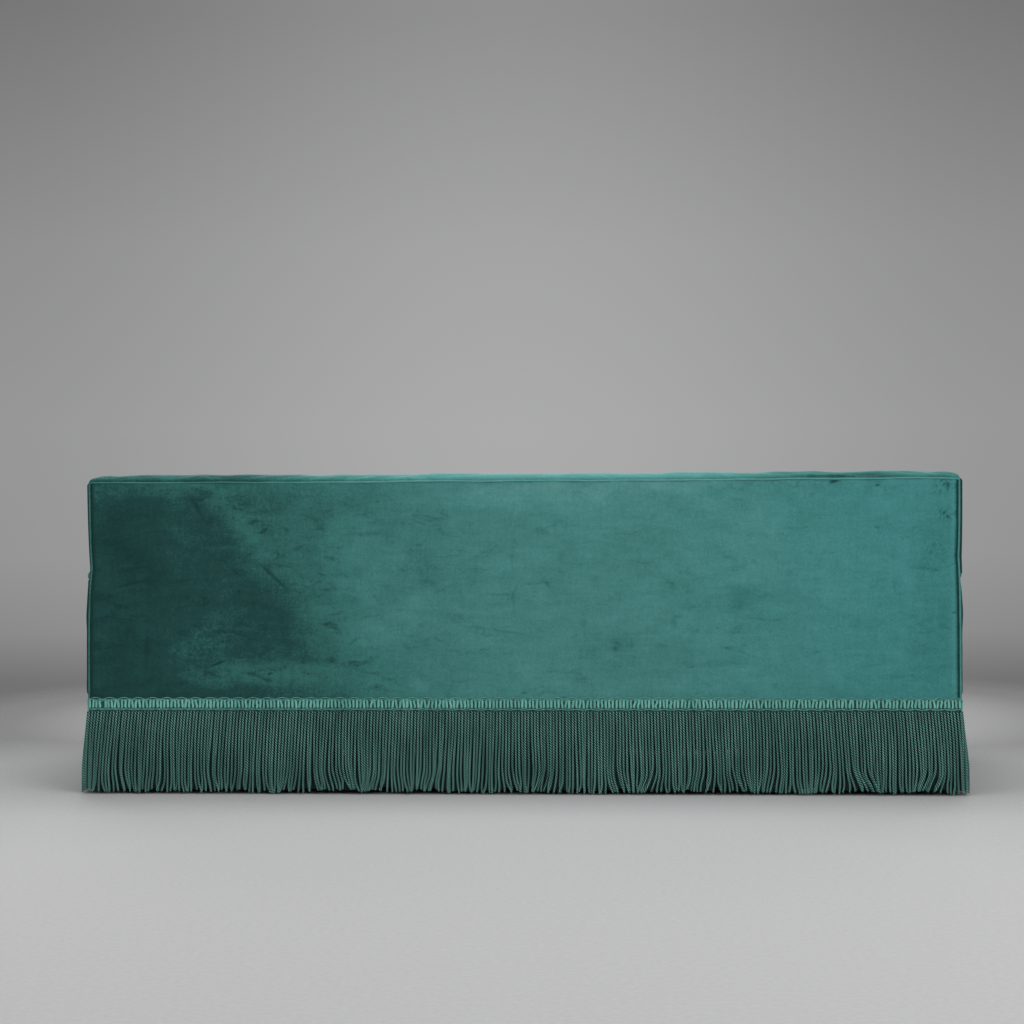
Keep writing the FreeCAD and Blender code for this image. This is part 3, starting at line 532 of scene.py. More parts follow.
# Marks on the outside back: middle x and z, half length, half width, slant in degrees, lightness
BACK_STROKES = [
    ((0.81, 0.39), 0.17, 0.09, 20, 0.10),
    ((0.67, 0.30), 0.32, 0.05, 2, 0.14),
    ((0.72, 0.69), 0.17, 0.045, -45, 0.10),
    ((0.33, 0.43), 0.16, 0.07, 30, 0.07),
    ((0.42, 0.60), 0.10, 0.22, 8, 0.08),
    ((0.672, 0.685), 0.026, 0.008, 0, -0.15),
    ((0.98, 0.66), 0.10, 0.20, 10, -0.05),
    ((0.05, 0.76), 0.35, 0.05, 0, 0.08),
    ((-0.72, 0.62), 0.42, 0.22, -12, 0.05),
    ((-0.30, 0.36), 0.26, 0.08, -6, -0.06),
    ((-0.10, 0.52), 0.07, 0.16, 20, -0.05),
    ((0.24, 0.56), 0.05, 0.06, 40, -0.06),
    ((-0.56, 0.50), 0.05, 0.05, -30, -0.12),
    ((-0.785, 0.788), 0.024, 0.012, 12, -0.42),
    ((-0.64, 0.793), 0.018, 0.006, 0, -0.26),
    ((-0.685, 0.790), 0.035, 0.005, 0, -0.18),
    ((-1.055, 0.786), 0.014, 0.006, 25, -0.24),
    ((-1.068, 0.774), 0.014, 0.007, -40, -0.26),
    ((-1.060, 0.712), 0.016, 0.007, 30, -0.22),
    ((-1.070, 0.699), 0.013, 0.007, -25, -0.26),
    ((0.625, 0.46), 0.18, 0.090, -52, -0.05),
    ((-0.380, 0.432), 0.014, 0.024, 0, -0.11),
    ((-0.442, 0.416), 0.008, 0.008, 0, -0.13),
    ((-0.490, 0.425), 0.010, 0.004, 0, -0.17),
    ((-0.428, 0.317), 0.016, 0.004, 0, -0.14),
    ((-0.159, 0.425), 0.013, 0.016, 30, -0.10),
    ((-0.114, 0.592), 0.010, 0.024, 0, -0.11),
    ((-0.276, 0.376), 0.007, 0.020, 0, -0.10),
    ((-0.559, 0.368), 0.014, 0.006, 0, -0.11),
    ((-0.902, 0.779), 0.010, 0.005, 15, -0.28),
    ((-0.89, 0.668), 0.008, 0.005, 0, -0.22),
    ((-1.078, 0.453), 0.009, 0.006, 30, -0.24),
    ((0.96, 0.775), 0.42, 0.035, 0, 0.12),
    ((-0.25, 0.775), 0.50, 0.030, 0, 0.07),
    ((-1.04, 0.45), 0.09, 0.36, 0, -0.06),
    ((0.84, 0.755), 0.14, 0.045, 5, 0.07),
    ((0.44, 0.72), 0.09, 0.05, 0, -0.06),
    ((0.395, 0.655), 0.050, 0.010, 0, -0.09),
    ((0.33, 0.60), 0.035, 0.045, 0, 0.06),
    ((0.002, 0.480), 0.009, 0.050, 0, -0.11),
    ((0.012, 0.60), 0.010, 0.060, 0, -0.06),
    ((-0.036, 0.507), 0.010, 0.005, 0, -0.08),
    ((0.248, 0.429), 0.018, 0.012, 0, -0.10),
    ((0.250, 0.533), 0.045, 0.014, 0, -0.07),
    ((0.472, 0.345), 0.022, 0.014, 10, -0.15),
    ((0.262, 0.274), 0.045, 0.022, -10, 0.10),
    ((0.272, 0.488), 0.032, 0.024, 0, 0.06),
    ((0.085, 0.357), 0.020, 0.004, 0, -0.07),
    ((0.070, 0.301), 0.035, 0.005, 0, -0.07),
    ((-0.006, 0.253), 0.012, 0.006, 0, -0.16),
    ((0.190, 0.333), 0.022, 0.025, 0, -0.06),
    ((0.472, 0.455), 0.022, 0.005, 8, -0.09),
]
# Rubbed places on the outside back, given in the same way
BACK_RUBS = [
    ((0.78, 0.385), 0.10, 0.07, 20, -0.10),
    ((-1.062, 0.768), 0.045, 0.035, 0, -0.26),
    ((-1.064, 0.700), 0.035, 0.028, 0, -0.22),
    ((-1.040, 0.600), 0.06, 0.09, 0, -0.10),
    ((1.03, 0.72), 0.07, 0.06, 0, -0.10),
    ((-0.70, 0.780), 0.25, 0.02, 0, -0.12),
]


def timber(name, dark, light, roughness):
    surface = Surface(name, {"Specular IOR Level": 0.35})
    grain = surface.noise(14, 6, (0.35, 4.0, 4.0), 0.62, 1.4)
    pores = surface.noise(160, 3, (0.06, 1, 1), 0.7)
    shade = surface.vary(grain, (pores, 0.35))
    colour = surface.ramp(shade, ((0.30, dark), (0.68, light)))
    polish = surface.ranged(shade, 0.3, 0.7, roughness + 0.1, roughness - 0.08)
    return surface.wear(colour, polish, surface.bump(shade, 0.0008, 0.5))


def steel(name, tone, roughness):
    surface = Surface(name, {"Metallic": 1.0})
    drawn = surface.noise(220, 4, (1, 1, 0.12), 0.6)
    shade = surface.vary(surface.noise(18, 4), (drawn, 0.4))
    dull = tuple(0.62 * part for part in tone)
    colour = surface.ramp(shade, ((0.28, dull), (0.62, tone)))
    polish = surface.ranged(shade, 0.25, 0.75, roughness + 0.14, roughness - 0.06)
    return surface.wear(colour, polish, surface.bump(drawn, 0.0003, 0.4))


def woven(name, dark, light, thread, depth):
    """A plain weave with threads this far apart."""
    surface = Surface(name, {"Roughness": 0.9, "Sheen Weight": 0.1, "Specular IOR Level": 0.2})
    weft, warp, rise = (surface.bands(1 / (thread * 20), axis, 0.4) for axis in "XYZ")
    level = surface.math("MULTIPLY", weft, warp)
    cloth = surface.math("MAXIMUM", level, surface.math("MULTIPLY", weft, rise))
    slub = surface.noise(60, 4, (1, 1, 1), 0.65)
    shade = surface.vary(cloth, (slub, 0.7))
    colour = surface.ramp(shade, ((0.1, dark), (0.85, light)))
    return surface.wear(colour, surface.ranged(slub, 0.2, 0.8, 0.95, 0.8), surface.bump(shade, depth, 0.7))


def pressed_board():
    surface = Surface("lining_board_finish", {"Specular IOR Level": 0.25})
    fibre = surface.noise(240, 5, (1, 1, 0.5), 0.7)
    shade = surface.vary(surface.noise(12, 4), (fibre, 0.5))
    colour = surface.ramp(shade, ((0.3, (0.20, 0.135, 0.078)), (0.7, (0.37, 0.27, 0.17))))
    return surface.wear(colour, surface.ranged(shade, 0.3, 0.7, 0.9, 0.78), surface.bump(fibre, 0.0004, 0.5))


def moulded_plastic():
    surface = Surface("glide_finish", {"Specular IOR Level": 0.4})
    grain = surface.noise(700, 3)
    scuff = surface.noise(40, 5, (1, 1, 0.3))
    colour = surface.ramp(scuff, ((0.3, (0.010, 0.010, 0.011)), (0.75, (0.045, 0.044, 0.043))))
    return surface.wear(colour, surface.ranged(scuff, 0.3, 0.7, 0.42, 0.62), surface.bump(grain, 0.0002, 0.5))


YARN_SHADER = {
    "Roughness": 0.7,
    "Sheen Roughness": 0.4,
    "Sheen Tint": (0.5, 0.85, 0.78, 1),
    "Specular IOR Level": 0.2,
}
GROOVE_SHADE_COLOUR = (0.0010, 0.0042, 0.0039, 1)


def yarn(name, dark, light, thread, sheen, groove=0.0):
    """Spun yarn: fine fibres, each cord a little lighter or darker, with painted shade between its plies."""
    surface = Surface(name, {**YARN_SHADER, "Sheen Weight": sheen})
    each = surface.noise(95, 2, (1, 1, 0.05), 0.5)
    broad = surface.noise(6, 3, (1, 1, 1.6), 0.55)
    fibre = surface.noise(1.0 / thread, 3, (1, 1, 0.8), 0.65)
    shade = surface.vary(0.5, (each, 0.8), (broad, 0.45), (fibre, 0.35))
    colour = surface.ramp(shade, ((0.15, dark), (0.85, light)))
    if groove:
        # Painted shade in the grooves between the plies.
        groove_shade = surface.ranged(surface.shade(), 0.99, 0.47, 0.0, groove)
        colour = surface.mix(groove_shade, colour, GROOVE_SHADE_COLOUR)
    return surface.wear(colour, surface.ranged(fibre, 0.2, 0.8, 0.8, 0.62), surface.bump(fibre, 0.0004, 0.6))


FRAME_FINISHES = {
    "frame_timber": timber("beech_finish", (0.36, 0.21, 0.11), (0.62, 0.43, 0.26), 0.6),
    "leg_timber": timber("stained_leg_finish", (0.030, 0.014, 0.007), (0.105, 0.052, 0.026), 0.38),
    "hardware_steel": steel("zinc_finish", (0.62, 0.62, 0.60), 0.38),
    "spring_steel": steel("spring_finish", (0.30, 0.30, 0.31), 0.34),
    "glide_plastic": moulded_plastic(),
    "lining_board": pressed_board(),
    "hessian": woven("hessian_finish", (0.14, 0.090, 0.045), (0.42, 0.31, 0.18), 0.0018, 0.0006),
    "webbing": woven("webbing_finish", (0.15, 0.13, 0.10), (0.52, 0.47, 0.38), 0.0022, 0.0007),
    "dust_cloth": woven("dust_cloth_finish", (0.006, 0.006, 0.007), (0.030, 0.030, 0.032), 0.0008, 0.0003),
}
BACK_VELVET = brushed_back()
VELVET = velvet("velvet_cover", 0.54)
CROWN_VELVET = velvet("velvet_inside_back", 0.54)
# Painted shade: the sides are a darker copy of the cover's velvet, and darker still along their rear edge
# beside the back's seam.
SIDE_VELVET = velvet("velvet_side", 0.44, (("Y", 0.414, 0.431, -0.46),), 0.10)
# Painted highlight: the piping is the cover's velvet set lighter, with the pile darker towards the left as on
# the outside back and a little darker at the right end.
PIPING_VELVET = velvet("velvet_piping", 0.76, (("X", 0.30, 0.85, -0.30), ("X", -0.55, -0.80, -0.06)), 0.18)
BRAID_YARN = yarn("braid_yarn", (0.064, 0.255, 0.218), (0.230, 0.595, 0.520), 0.0006, 0.1)
CORD_YARN = yarn("braid_cord_yarn", (0.050, 0.185, 0.160), (0.150, 0.400, 0.350), 0.0006, 0.1)
TAPE_YARN = yarn("braid_tape_yarn", (0.008, 0.036, 0.032), (0.028, 0.098, 0.086), 0.0009, 0.0)
FRINGE_YARN = yarn("fringe_yarn", (0.066, 0.210, 0.183), (0.290, 0.675, 0.594), 0.0007, 0.05, 0.98)
# Painted shade: the row of cords behind the front row is coloured near black, for the shade inside the
# fringe.
LINING_SHADE_YARN = yarn("fringe_lining_yarn", (0.0020, 0.008, 0.007), (0.008, 0.024, 0.021), 0.0007, 0.0)


# Camera, floor and light

CAMERA_PLACE = (-0.241, 5.74, 0.711)
CAMERA_YAW = math.radians(2.817)
CAMERA_ROLL = math.radians(-0.222)
LENS = 73.99
SENSOR = 36.0
FLOOR_RADIUS = 7.0
FLOOR_CORNERS = 96
# Painted pools of light on the floor: middle and size of each.
FLOOR_LIGHT_POOLS = [((0.0, 2.0), 6.0), ((0.0, -1.7), 3.4)]
FLOOR_STOPS = (
    (0.38, (0.150, 0.150, 0.153)),
    (0.46, (0.175, 0.175, 0.178)),
    (0.56, (0.28, 0.28, 0.282)),
    (0.66, (0.350, 0.350, 0.350)),
    (0.82, (0.410, 0.410, 0.410)),
)
FLOOR_FADE = (0.30, 0.42)
SPECK_STOPS = ((0.3, (0.2, 0.2, 0.2)), (0.7, (0.8, 0.8, 0.8)))
SPECK_SHARE = 0.06
WORLD_LIGHT = 0.42
WALL_SPAN = 0.25
# Grey of the backdrop, with painted shade where it is darker: how far up, how light
WALL_LEVELS = (
    (0.31, 0.160),
    (0.345, 0.165),
    (0.39, 0.25),
    (0.46, 0.295),
    (0.58, 0.305),
    (0.75, 0.27),
    (0.96, 0.18),
)
WALL_BLUE = 1.015
GLOW = 0.10
GLOW_REACH = 0.27
LIGHT_TARGET = (0, 0, 0.45)
# Lamps: name, place, size, power
LIGHTS = [
    ("key_light", (-3.0, 4.8, 3.0), 2.6, 120),
    ("fill_light", (3.0, 4.8, 2.4), 2.6, 45),
    ("top_light", (0.0, 0.2, 3.8), 2.8, 110),
    ("front_light_left", (2.8, -4.6, 2.8), 2.4, 64),
    ("front_light_right", (-2.8, -4.6, 2.8), 2.4, 52),
]


def build_camera():
    data = bpy.data.cameras.new("camera")
    data.lens = LENS
    data.sensor_width = SENSOR
    data.sensor_fit = "HORIZONTAL"
    forward = Vector((math.sin(CAMERA_YAW), -math.cos(CAMERA_YAW), 0))
    level_right = forward.cross(Vector((0, 0, 1)))
    right = level_right * math.cos(CAMERA_ROLL) + Vector((0, 0, 1)) * math.sin(CAMERA_ROLL)
    up = right.cross(forward)
    camera = bpy.data.objects.new("camera", data)
    turn = Matrix((right, up, -forward)).transposed()
    camera.matrix_world = Matrix.Translation(CAMERA_PLACE) @ turn.to_4x4()
    bpy.context.scene.collection.objects.link(camera)
    bpy.context.scene.camera = camera


def build_light(name, place, size, power):
    data = bpy.data.lights.new(name, "AREA")
    data.size = size
    data.energy = power
    lamp = bpy.data.objects.new(name, data)
    lamp.location = place
    lamp.rotation_euler = (Vector(LIGHT_TARGET) - Vector(place)).to_track_quat("-Z", "Y").to_euler()
    bpy.context.scene.collection.objects.link(lamp)


def build_floor():
    """A pale floor that darkens with distance from painted pools of light and fades into the backdrop."""
    surface = Surface("floor_finish", {"Roughness": 0.8, "Specular IOR Level": 0.15})
    light_pools = [surface.ball(surface.coordinates, (*middle, 0.0), (size,) * 3) for middle, size in FLOOR_LIGHT_POOLS]
    near = surface.math("MAXIMUM", *light_pools)
    speck = surface.ramp(surface.noise(90, 3), SPECK_STOPS)
    surface.wear(surface.mix(SPECK_SHARE, surface.ramp(near, FLOOR_STOPS), speck))
    clear = surface.node("BsdfTransparent")
    surface.blend(surface.ranged(near, *FLOOR_FADE), clear, surface.shader, "Material Output")
    angle = ring_angles(FLOOR_CORNERS)
    rim = FLOOR_RADIUS * vectors(np.cos(angle), np.sin(angle), 0.0)
    mesh = bpy.data.meshes.new("floor")
    mesh.from_pydata(rim.tolist(), [], [list(range(FLOOR_CORNERS))])
    mesh.materials.append(surface.material)
    floor = bpy.data.objects.new("floor", mesh)
    bpy.context.scene.collection.objects.link(floor)


def build_world():
    """Even light for the object, and a grey backdrop for the camera, darkest low down with painted shade, and
    with a painted glow where the camera looks.
    """
    world = bpy.data.worlds.new("studio")
    bpy.context.scene.world = world
    world.use_nodes = True
    nodes = Nodes(world.node_tree, "Generated")
    light = world.node_tree.nodes["Background"]
    light.inputs["Color"].default_value = (1, 1, 1, 1)
    light.inputs["Strength"].default_value = WORLD_LIGHT
    rise = nodes.part(nodes.coordinates, "Z")
    span = nodes.node("MapRange", None, {"Value": rise, "From Min": -WALL_SPAN, "From Max": WALL_SPAN})
    stops = [(place, (level, level, level * WALL_BLUE)) for place, level in WALL_LEVELS]
    shade = nodes.ramp(span.outputs["Result"], stops)
    flat = nodes.vector("MULTIPLY", nodes.coordinates, (1, 1, 0))
    apart = nodes.vector("DISTANCE", flat, (math.sin(CAMERA_YAW), -math.cos(CAMERA_YAW), 0))
    glow = nodes.ranged(apart, GLOW_REACH, 0.0, 0.0, GLOW)
    wall = nodes.node("Background", None, {"Color": nodes.vector("ADD", shade, glow)})
    rays = nodes.node("LightPath").outputs
    seen = rays["Is Camera Ray"]
    for ray in ("Is Glossy Ray", "Is Transmission Ray"):
        seen = nodes.math("MAXIMUM", seen, rays[ray])
    nodes.blend(seen, light, wall, "World Output")


def build_stage():
    build_camera()
    build_floor()
    build_world()
    for light in LIGHTS:
        build_light(*light)
    bpy.context.scene.view_settings.view_transform = "Standard"


# The outside back and the sides

PINCH_LEFT = 0.0083
PINCH_RIGHT = 0.0042
PINCH_RIGHT_LIFT = 0.027
# Steps of the outside back's grid: how many, how near the ends they are fine, how many fine ones
PANEL_UP = (96, 0.025, 7)
PANEL_ACROSS = (356, 0.015, 9)
PANEL_EDGE = 0.0010
PANEL_TOP = 0.0012
PANEL_SWELL = 0.0012
PANEL_TUCK = 0.0022
PANEL_LIP = 0.0006
PANEL_WAVES = 0.0005
LOW_PULLS = 0.0004
TOP_PULLS = 0.0006
PANEL_SHADE_LEFT = 0.55
PANEL_SHADE_RIGHT = 0.78
PIPING_SHADE = 0.40
# The outside arms: steps of the grid, reach past the front, swell, tuck at the front seam, button's dimple
SIDE_ALONG = (150, 0.016, 8)
SIDE_UP = (76, 0.012, 6)
SIDE_REACH = 0.0010
SIDE_SWELL = {1: 0.0105, -1: 0.0078}
SIDE_WAVES = 0.0006
SIDE_TUCK = 0.0046
DIMPLE = 0.0068
DIMPLE_Y = 0.418


def pinch(x, z):
    """How far the side buttons draw the back's side seam in."""
    left = PINCH_LEFT * bell(z - PINCH_HEIGHT, np.where(z > PINCH_HEIGHT, 0.115, 0.055), 1)
    right = PINCH_RIGHT * bell(z - PINCH_HEIGHT - PINCH_RIGHT_LIFT, 0.060, 1)
    return np.where(x > 0, left, right)


def seam_inset(x, z):
    """How far the back's side seam lies in from the side of the sofa."""
    return 0.0004 + 0.0012 * smooth(0.40, 0.78, z) + pinch(x, z)


def seam_drop(x):
    """How far the top seam falls at its rounded corners."""
    past = np.clip(np.abs(x) - (SEAM_HALF - SEAM_CORNER), 0, SEAM_CORNER)
    return SEAM_CORNER - np.sqrt(SEAM_CORNER**2 - past**2)


def seam_sag(x):
    """How far the top seam hangs below a level line."""
    return 0.0025 * smooth(-0.95, -0.55, x) + 0.0018 * bell(x - 0.55, 0.22)


def pressed(level, flat, z, reach):
    """A cover that lies flat under the braid, from this far above it."""
    return level + (flat - level) * smooth(BRAID_HIGH.z + reach, BRAID_HIGH.z - 0.006, z)


def crease(x, z, start, end, width, depth):
    """A narrow dip between two points, shallow at its ends."""
    start = np.array(start)
    run = np.array(end) - start
    length = np.hypot(*run)
    along = ((x - start[0]) * run[0] + (z - start[1]) * run[1]) / length**2
    away = ((x - start[0]) * run[1] - (z - start[1]) * run[0]) / length
    taper = np.sin(math.pi * np.clip(along, 0, 1))
    return depth * taper * bell(away, width)


def build_outside_back():
    up, across = np.meshgrid(graded(0, 1, *PANEL_UP), graded(-1, 1, *PANEL_ACROSS), indexing="ij")
    top = SEAM_TOP - PANEL_TOP - seam_drop(across * SEAM_HALF) - seam_sag(across * SEAM_HALF)
    z = BACK_LOW.z + up * (top - BACK_LOW.z)
    edge = HALF_WIDTH - PANEL_EDGE - seam_inset(across, z)
    x = across * edge
    side_room = edge - np.abs(x)
    top_room = top - z
    swell = PANEL_SWELL * smooth(0.0, 0.10, np.minimum(side_room, top_room))
    y = HALF_DEPTH + swell - PANEL_TUCK * bell(side_room, 0.0042) + PANEL_LIP * bell(top_room, 0.02)
    low_pulls = LOW_PULLS * waves(12, 0.025, 0.06, x, 0.2 * z) * np.exp(-(z - BRAID_HIGH.z) / 0.06)
    top_pulls = TOP_PULLS * np.abs(waves(13, 0.02, 0.05, x, 0.5 * z)) * bell(top_room, 0.012, 1)
    y = y + PANEL_WAVES * waves(11, 0.06, 0.22, x, z) + low_pulls - top_pulls
    for start, end, width, depth, _ in BACK_CREASES:
        y = y - crease(x, z, start, end, width, depth)
    y = pressed(y, HALF_DEPTH - UNDER_BRAID, z, 0.03)
    # Painted shade in the side seams, wider on the left; a painted highlight beside the right seam; and
    # lighter colour along the top edge.
    left = PANEL_SHADE_LEFT * bell(side_room, 0.0070)
    right = PANEL_SHADE_RIGHT * bell(side_room, 0.0072) - 0.10 * bell(side_room - 0.013, 0.005)
    shade = np.where(across > 0, left, right) - 0.07 * bell(top_room, 0.016, 1)
    points, faces = slab(vectors(x, y, z), (0, -COVER_THICKNESS, 0))
    made = piece("outside_back", points, faces, BACK_VELVET, "velvet", shade=np.stack([shade, shade]))
    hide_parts("outside_back_cover")


def back_seam_path():
    """The line of the piping round the outside back, from the left foot over the top to the right."""
    inner = SEAM_HALF - SEAM_CORNER
    left = vectors(SEAM_HALF, np.arange(BRAID_HIGH.z, SEAM_TOP - SEAM_CORNER, PIPING_STEP))
    corner = arc((inner, SEAM_TOP - SEAM_CORNER), SEAM_CORNER, 0, 90, 8)
    level = vectors(np.arange(inner, -inner, -PIPING_STEP), SEAM_TOP)
    path = np.concatenate([left, corner, level, corner[::-1] * (-1, 1), left[::-1] * (-1, 1)])
    x, z = path.T
    along = PIPING_STEP * np.arange(len(path))
    inset = seam_inset(x, z) - (HALF_WIDTH - SEAM_HALF)
    x = x - np.sign(x) * inset * smooth(0.03, 0.0, SEAM_HALF - np.abs(x))
    at_top = smooth(SEAM_TOP - 0.02, SEAM_TOP - 0.002, z)
    z = z - seam_sag(x) * at_top + 0.0005 * waves(21, 0.05, 0.4, along)
    y = HALF_DEPTH - PIPING_SUNK + 0.00015 * waves(22, 0.03, 0.2, along)
    return vectors(x, y, z)


def uneven(count, seed):
    """Piping radius along a seam: a cord under cloth is never quite even."""
    return PIPING_RADIUS * (1 + 0.05 * waves(seed, 0.012, 0.06, PIPING_STEP * np.arange(count)))


def build_back_piping():
    path = back_seam_path()
    radius = uneven(len(path), 23)
    points, faces = tube(path, radius)
    # Painted shade on the flanks of the piping, which turn away from straight out of the back.
    facing = (points[:, 1] - np.repeat(path[:, 1], PIPING_SIDES)) / np.repeat(radius, PIPING_SIDES)
    shade = PIPING_SHADE * (1 - np.clip(facing, 0, 1)) ** 1.3
    made = piece("back_seam_piping", points, faces, PIPING_VELVET, "piping", shade=shade)
    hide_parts("back_piping")


def side_panel(side):
    """One outside arm, a stretched panel that swells past the seams and is drawn in by its button."""
    along = graded(SIDE_LOW.y - SIDE_REACH, SIDE_HIGH.y, *SIDE_ALONG)
    y, z = np.meshgrid(along, graded(SIDE_LOW.z, SIDE_HIGH.z, *SIDE_UP))
    front = y - SIDE_LOW.y
    rear = SIDE_HIGH.y - y
    top = SIDE_HIGH.z - z
    firm = smooth(-0.005, 0.010, np.minimum(np.minimum(front, rear), top))
    soft = np.minimum(smooth(-0.012, 0.065, front), smooth(-0.020, 0.060, top))
    x = HALF_WIDTH - PANEL_EDGE + SIDE_SWELL[side] * (firm + (soft - firm) * smooth(0.03, 0.14, rear))
    x = x - SIDE_TUCK * smooth(0.007, 0.0, front)
    x = x + SIDE_WAVES * waves(31 + side, 0.05, 0.2, y, z)
    dimple = DIMPLE * bell(np.hypot(y - DIMPLE_Y, z - BUTTON_HEIGHT), 0.028, 1.3)
    x = x - np.maximum(dimple, pinch(side, z) * smooth(0.09, 0.0, rear))
    x = pressed(x, HALF_WIDTH - UNDER_BRAID, z, 0.016)
    return slab(vectors(side * x, y, z), (-COVER_THICKNESS * side, 0, 0))


# The inside back

FOOT = np.array((CROWN_LOW.y, CROWN_LOW.z))
SHOULDER = np.array((0.293, 0.748))
CREST_Y = 0.350
CREST_RISE = 0.0175
CREST = np.array((CREST_Y, SEAM_TOP + CREST_RISE))
REAR = np.array((CROWN_HIGH.y + 0.0005, SEAM_TOP + 0.0028))
FRONT_BULGE = 0.012
CROWN_HALF = HALF_WIDTH - 0.0020
CORNER_SPREAD = 0.0032
FRONT_STEPS = 70
CROWN_STEPS = 30
CROWN_COLUMNS = 601
CROWN_WAVES = 0.0010
TUFT_DEPTH = 0.0235
LEVEL_PLEAT = 0.0115
UPRIGHT_PLEAT = 0.0105
TUFT_SWELL = 0.004
TUFT_SPACING = 0.30
SEAM_GROOVE = 0.0013
FOLD_DEPTH = 0.0042
LEAF_REACH = 1.06
PLAIN_SHARE = 0.78
NARROW_HALF = ARM_LOW.x + 0.012
BACK_HEIGHTS = (0.780, 0.55, FOOT[1])
BACK_TUCK = 0.995


def crown_rise(x):
    """Height of the crest above the top seam: fuller on the right, and falling to the corners."""
    reach = np.where(x > 0, 0.050, 0.052)
    least = np.where(x > 0, 0.0042, 0.0085)
    past = np.clip((np.abs(x) - (CROWN_HALF - reach)) / reach, 0, 1)
    full = CREST_RISE + 0.0020 * smooth(-0.20, -0.80, x)
    return least + (full - least) * np.sqrt(1 - past**2)


def back_section():
    """Section of the inside back from its foot over the crest to the top seam, and the crest's share."""
    share = np.linspace(0, 1, FRONT_STEPS, endpoint=False)
    y = FOOT[0] + (SHOULDER[0] - FOOT[0]) * share - 4 * FRONT_BULGE * share * (1 - share)
    z = FOOT[1] + (SHOULDER[1] - FOOT[1]) * share
    over = curve_between(SHOULDER, (0.036, 0.150), CREST, (0.085, 0), CROWN_STEPS)
    down = curve_between(CREST, (0.170, 0), REAR, (0.012, -0.050), CROWN_STEPS)
    line = np.concatenate([vectors(y, z), over, down, REAR[None]])
    lift = np.clip((line[:, 1] - SHOULDER[1]) / (CREST[1] - SHOULDER[1]), 0, 1)
    rear = line[-CROWN_STEPS:, 1]
    lift[-CROWN_STEPS:] = np.clip((rear - REAR[1]) / (CREST[1] - REAR[1]), 0, 1)
    return line, lift


def section_at(x):
    """Sections of the inside back at these x: y and z for each."""
    line, lift = back_section()
    drop = CREST_RISE - crown_rise(x)
    y = np.broadcast_to(line[:, 0], (len(x), len(line)))
    tail = smooth(SHOULDER[1], SEAM_TOP, line[:, 1])
    hang = (1 - lift) * (line[:, 0] > CREST_Y)
    z = line[:, 1] - drop[:, None] * lift - seam_drop(x)[:, None] * tail - seam_sag(x)[:, None] * hang
    return y, z


def tuft_dents(x, z):
    """How far the buttons draw the inside back in, with the pleats between them."""
    depth = np.zeros_like(x)
    for tuft_x, tuft_z in TUFTS:
        side = x - tuft_x
        rise = z - tuft_z
        dent = TUFT_DEPTH * bell(np.hypot(side, rise), 0.052, 1.15)
        level = LEVEL_PLEAT * bell(rise, 0.010) * bell(side, 0.100, 1)
        upright = UPRIGHT_PLEAT * bell(side, 0.009) * bell(rise, 0.075, 1)
        depth = depth + np.maximum(dent, np.maximum(level, upright))
    swell = TUFT_SWELL * np.cos(FULL_TURN * x / TUFT_SPACING) * bell(z - TUFT_HEIGHT, 0.08)
    return depth + swell * smooth(1.02, 0.84, np.abs(x))


def long_fold(x, run):
    """The long fold above the seam near the right corner, widest towards its outer end."""
    hollow = bell(x + 0.880, 0.060) * bell(run - 0.012, 0.0075)
    line = bell(x + 0.820, 0.130, 4) * bell(run - 0.0045, 0.0040)
    return np.maximum(hollow, 0.8 * line)


def crown_shade(x, run):
    """How much darker the rear of the crown is coloured: towards both ends, with painted shade in the fold
    and at the seam, and lighter in the middle as a painted sheen.
    """
    ends = 0.26 * smooth(0.30, 0.80, x) + 0.10 * smooth(-0.50, -0.80, x)
    # Painted shade at the seam and in the long fold.
    seam = 0.08 * smooth(0.30, 0.80, x) * bell(run, 0.005) + 0.20 * long_fold(x, run)
    # A painted sheen that lightens the middle of the crown.
    middle = 0.12 * bell(x + 0.05, 0.42, 4)
    return (ends - middle) * smooth(0.10, 0.05, run) + seam


def leaf_dents(x, run, seed, spacing, half, slant, depth, width, height):
    """Leaf-shaped pulls side by side; run is the distance from the seam, and all but width are ranges."""
    dice = np.random.default_rng(seed)
    total = np.zeros_like(x)
    middle = -LEAF_REACH
    while middle < LEAF_REACH:
        tilt = dice.choice((-1, 1)) * dice.uniform(*slant)
        along = x - middle
        away = run - dice.uniform(*height) - tilt * along
        leaf = bell(along, dice.uniform(*half)) * bell(away, width)
        total = total + dice.uniform(*depth) * leaf
        middle += dice.uniform(*spacing)
    return total


# Pulls in the crown: seed, spacing, half length, slant, depth, width, height above the seam
BROAD_PULLS = (41, (0.055, 0.125), (0.030, 0.060), (0.10, 0.26), (0.0008, 0.0024), 0.007, (0.012, 0.016))
SHORT_PULLS = (43, (0.012, 0.045), (0.006, 0.013), (0.35, 0.80), (0.0006, 0.0018), 0.003, (0.004, 0.012))


def crown_puckers(x, run):
    """Broad pulls over the crown, short ones and a groove close to the seam, and the long fold."""
    pulls = leaf_dents(x, run, *BROAD_PULLS) + leaf_dents(x, run, *SHORT_PULLS)
    calm = 1 - 0.60 * bell(x + 0.15, 0.40, 4)
    groove = SEAM_GROOVE * bell(run, 0.0040)
    return (pulls + groove) * calm + FOLD_DEPTH * long_fold(x, run)


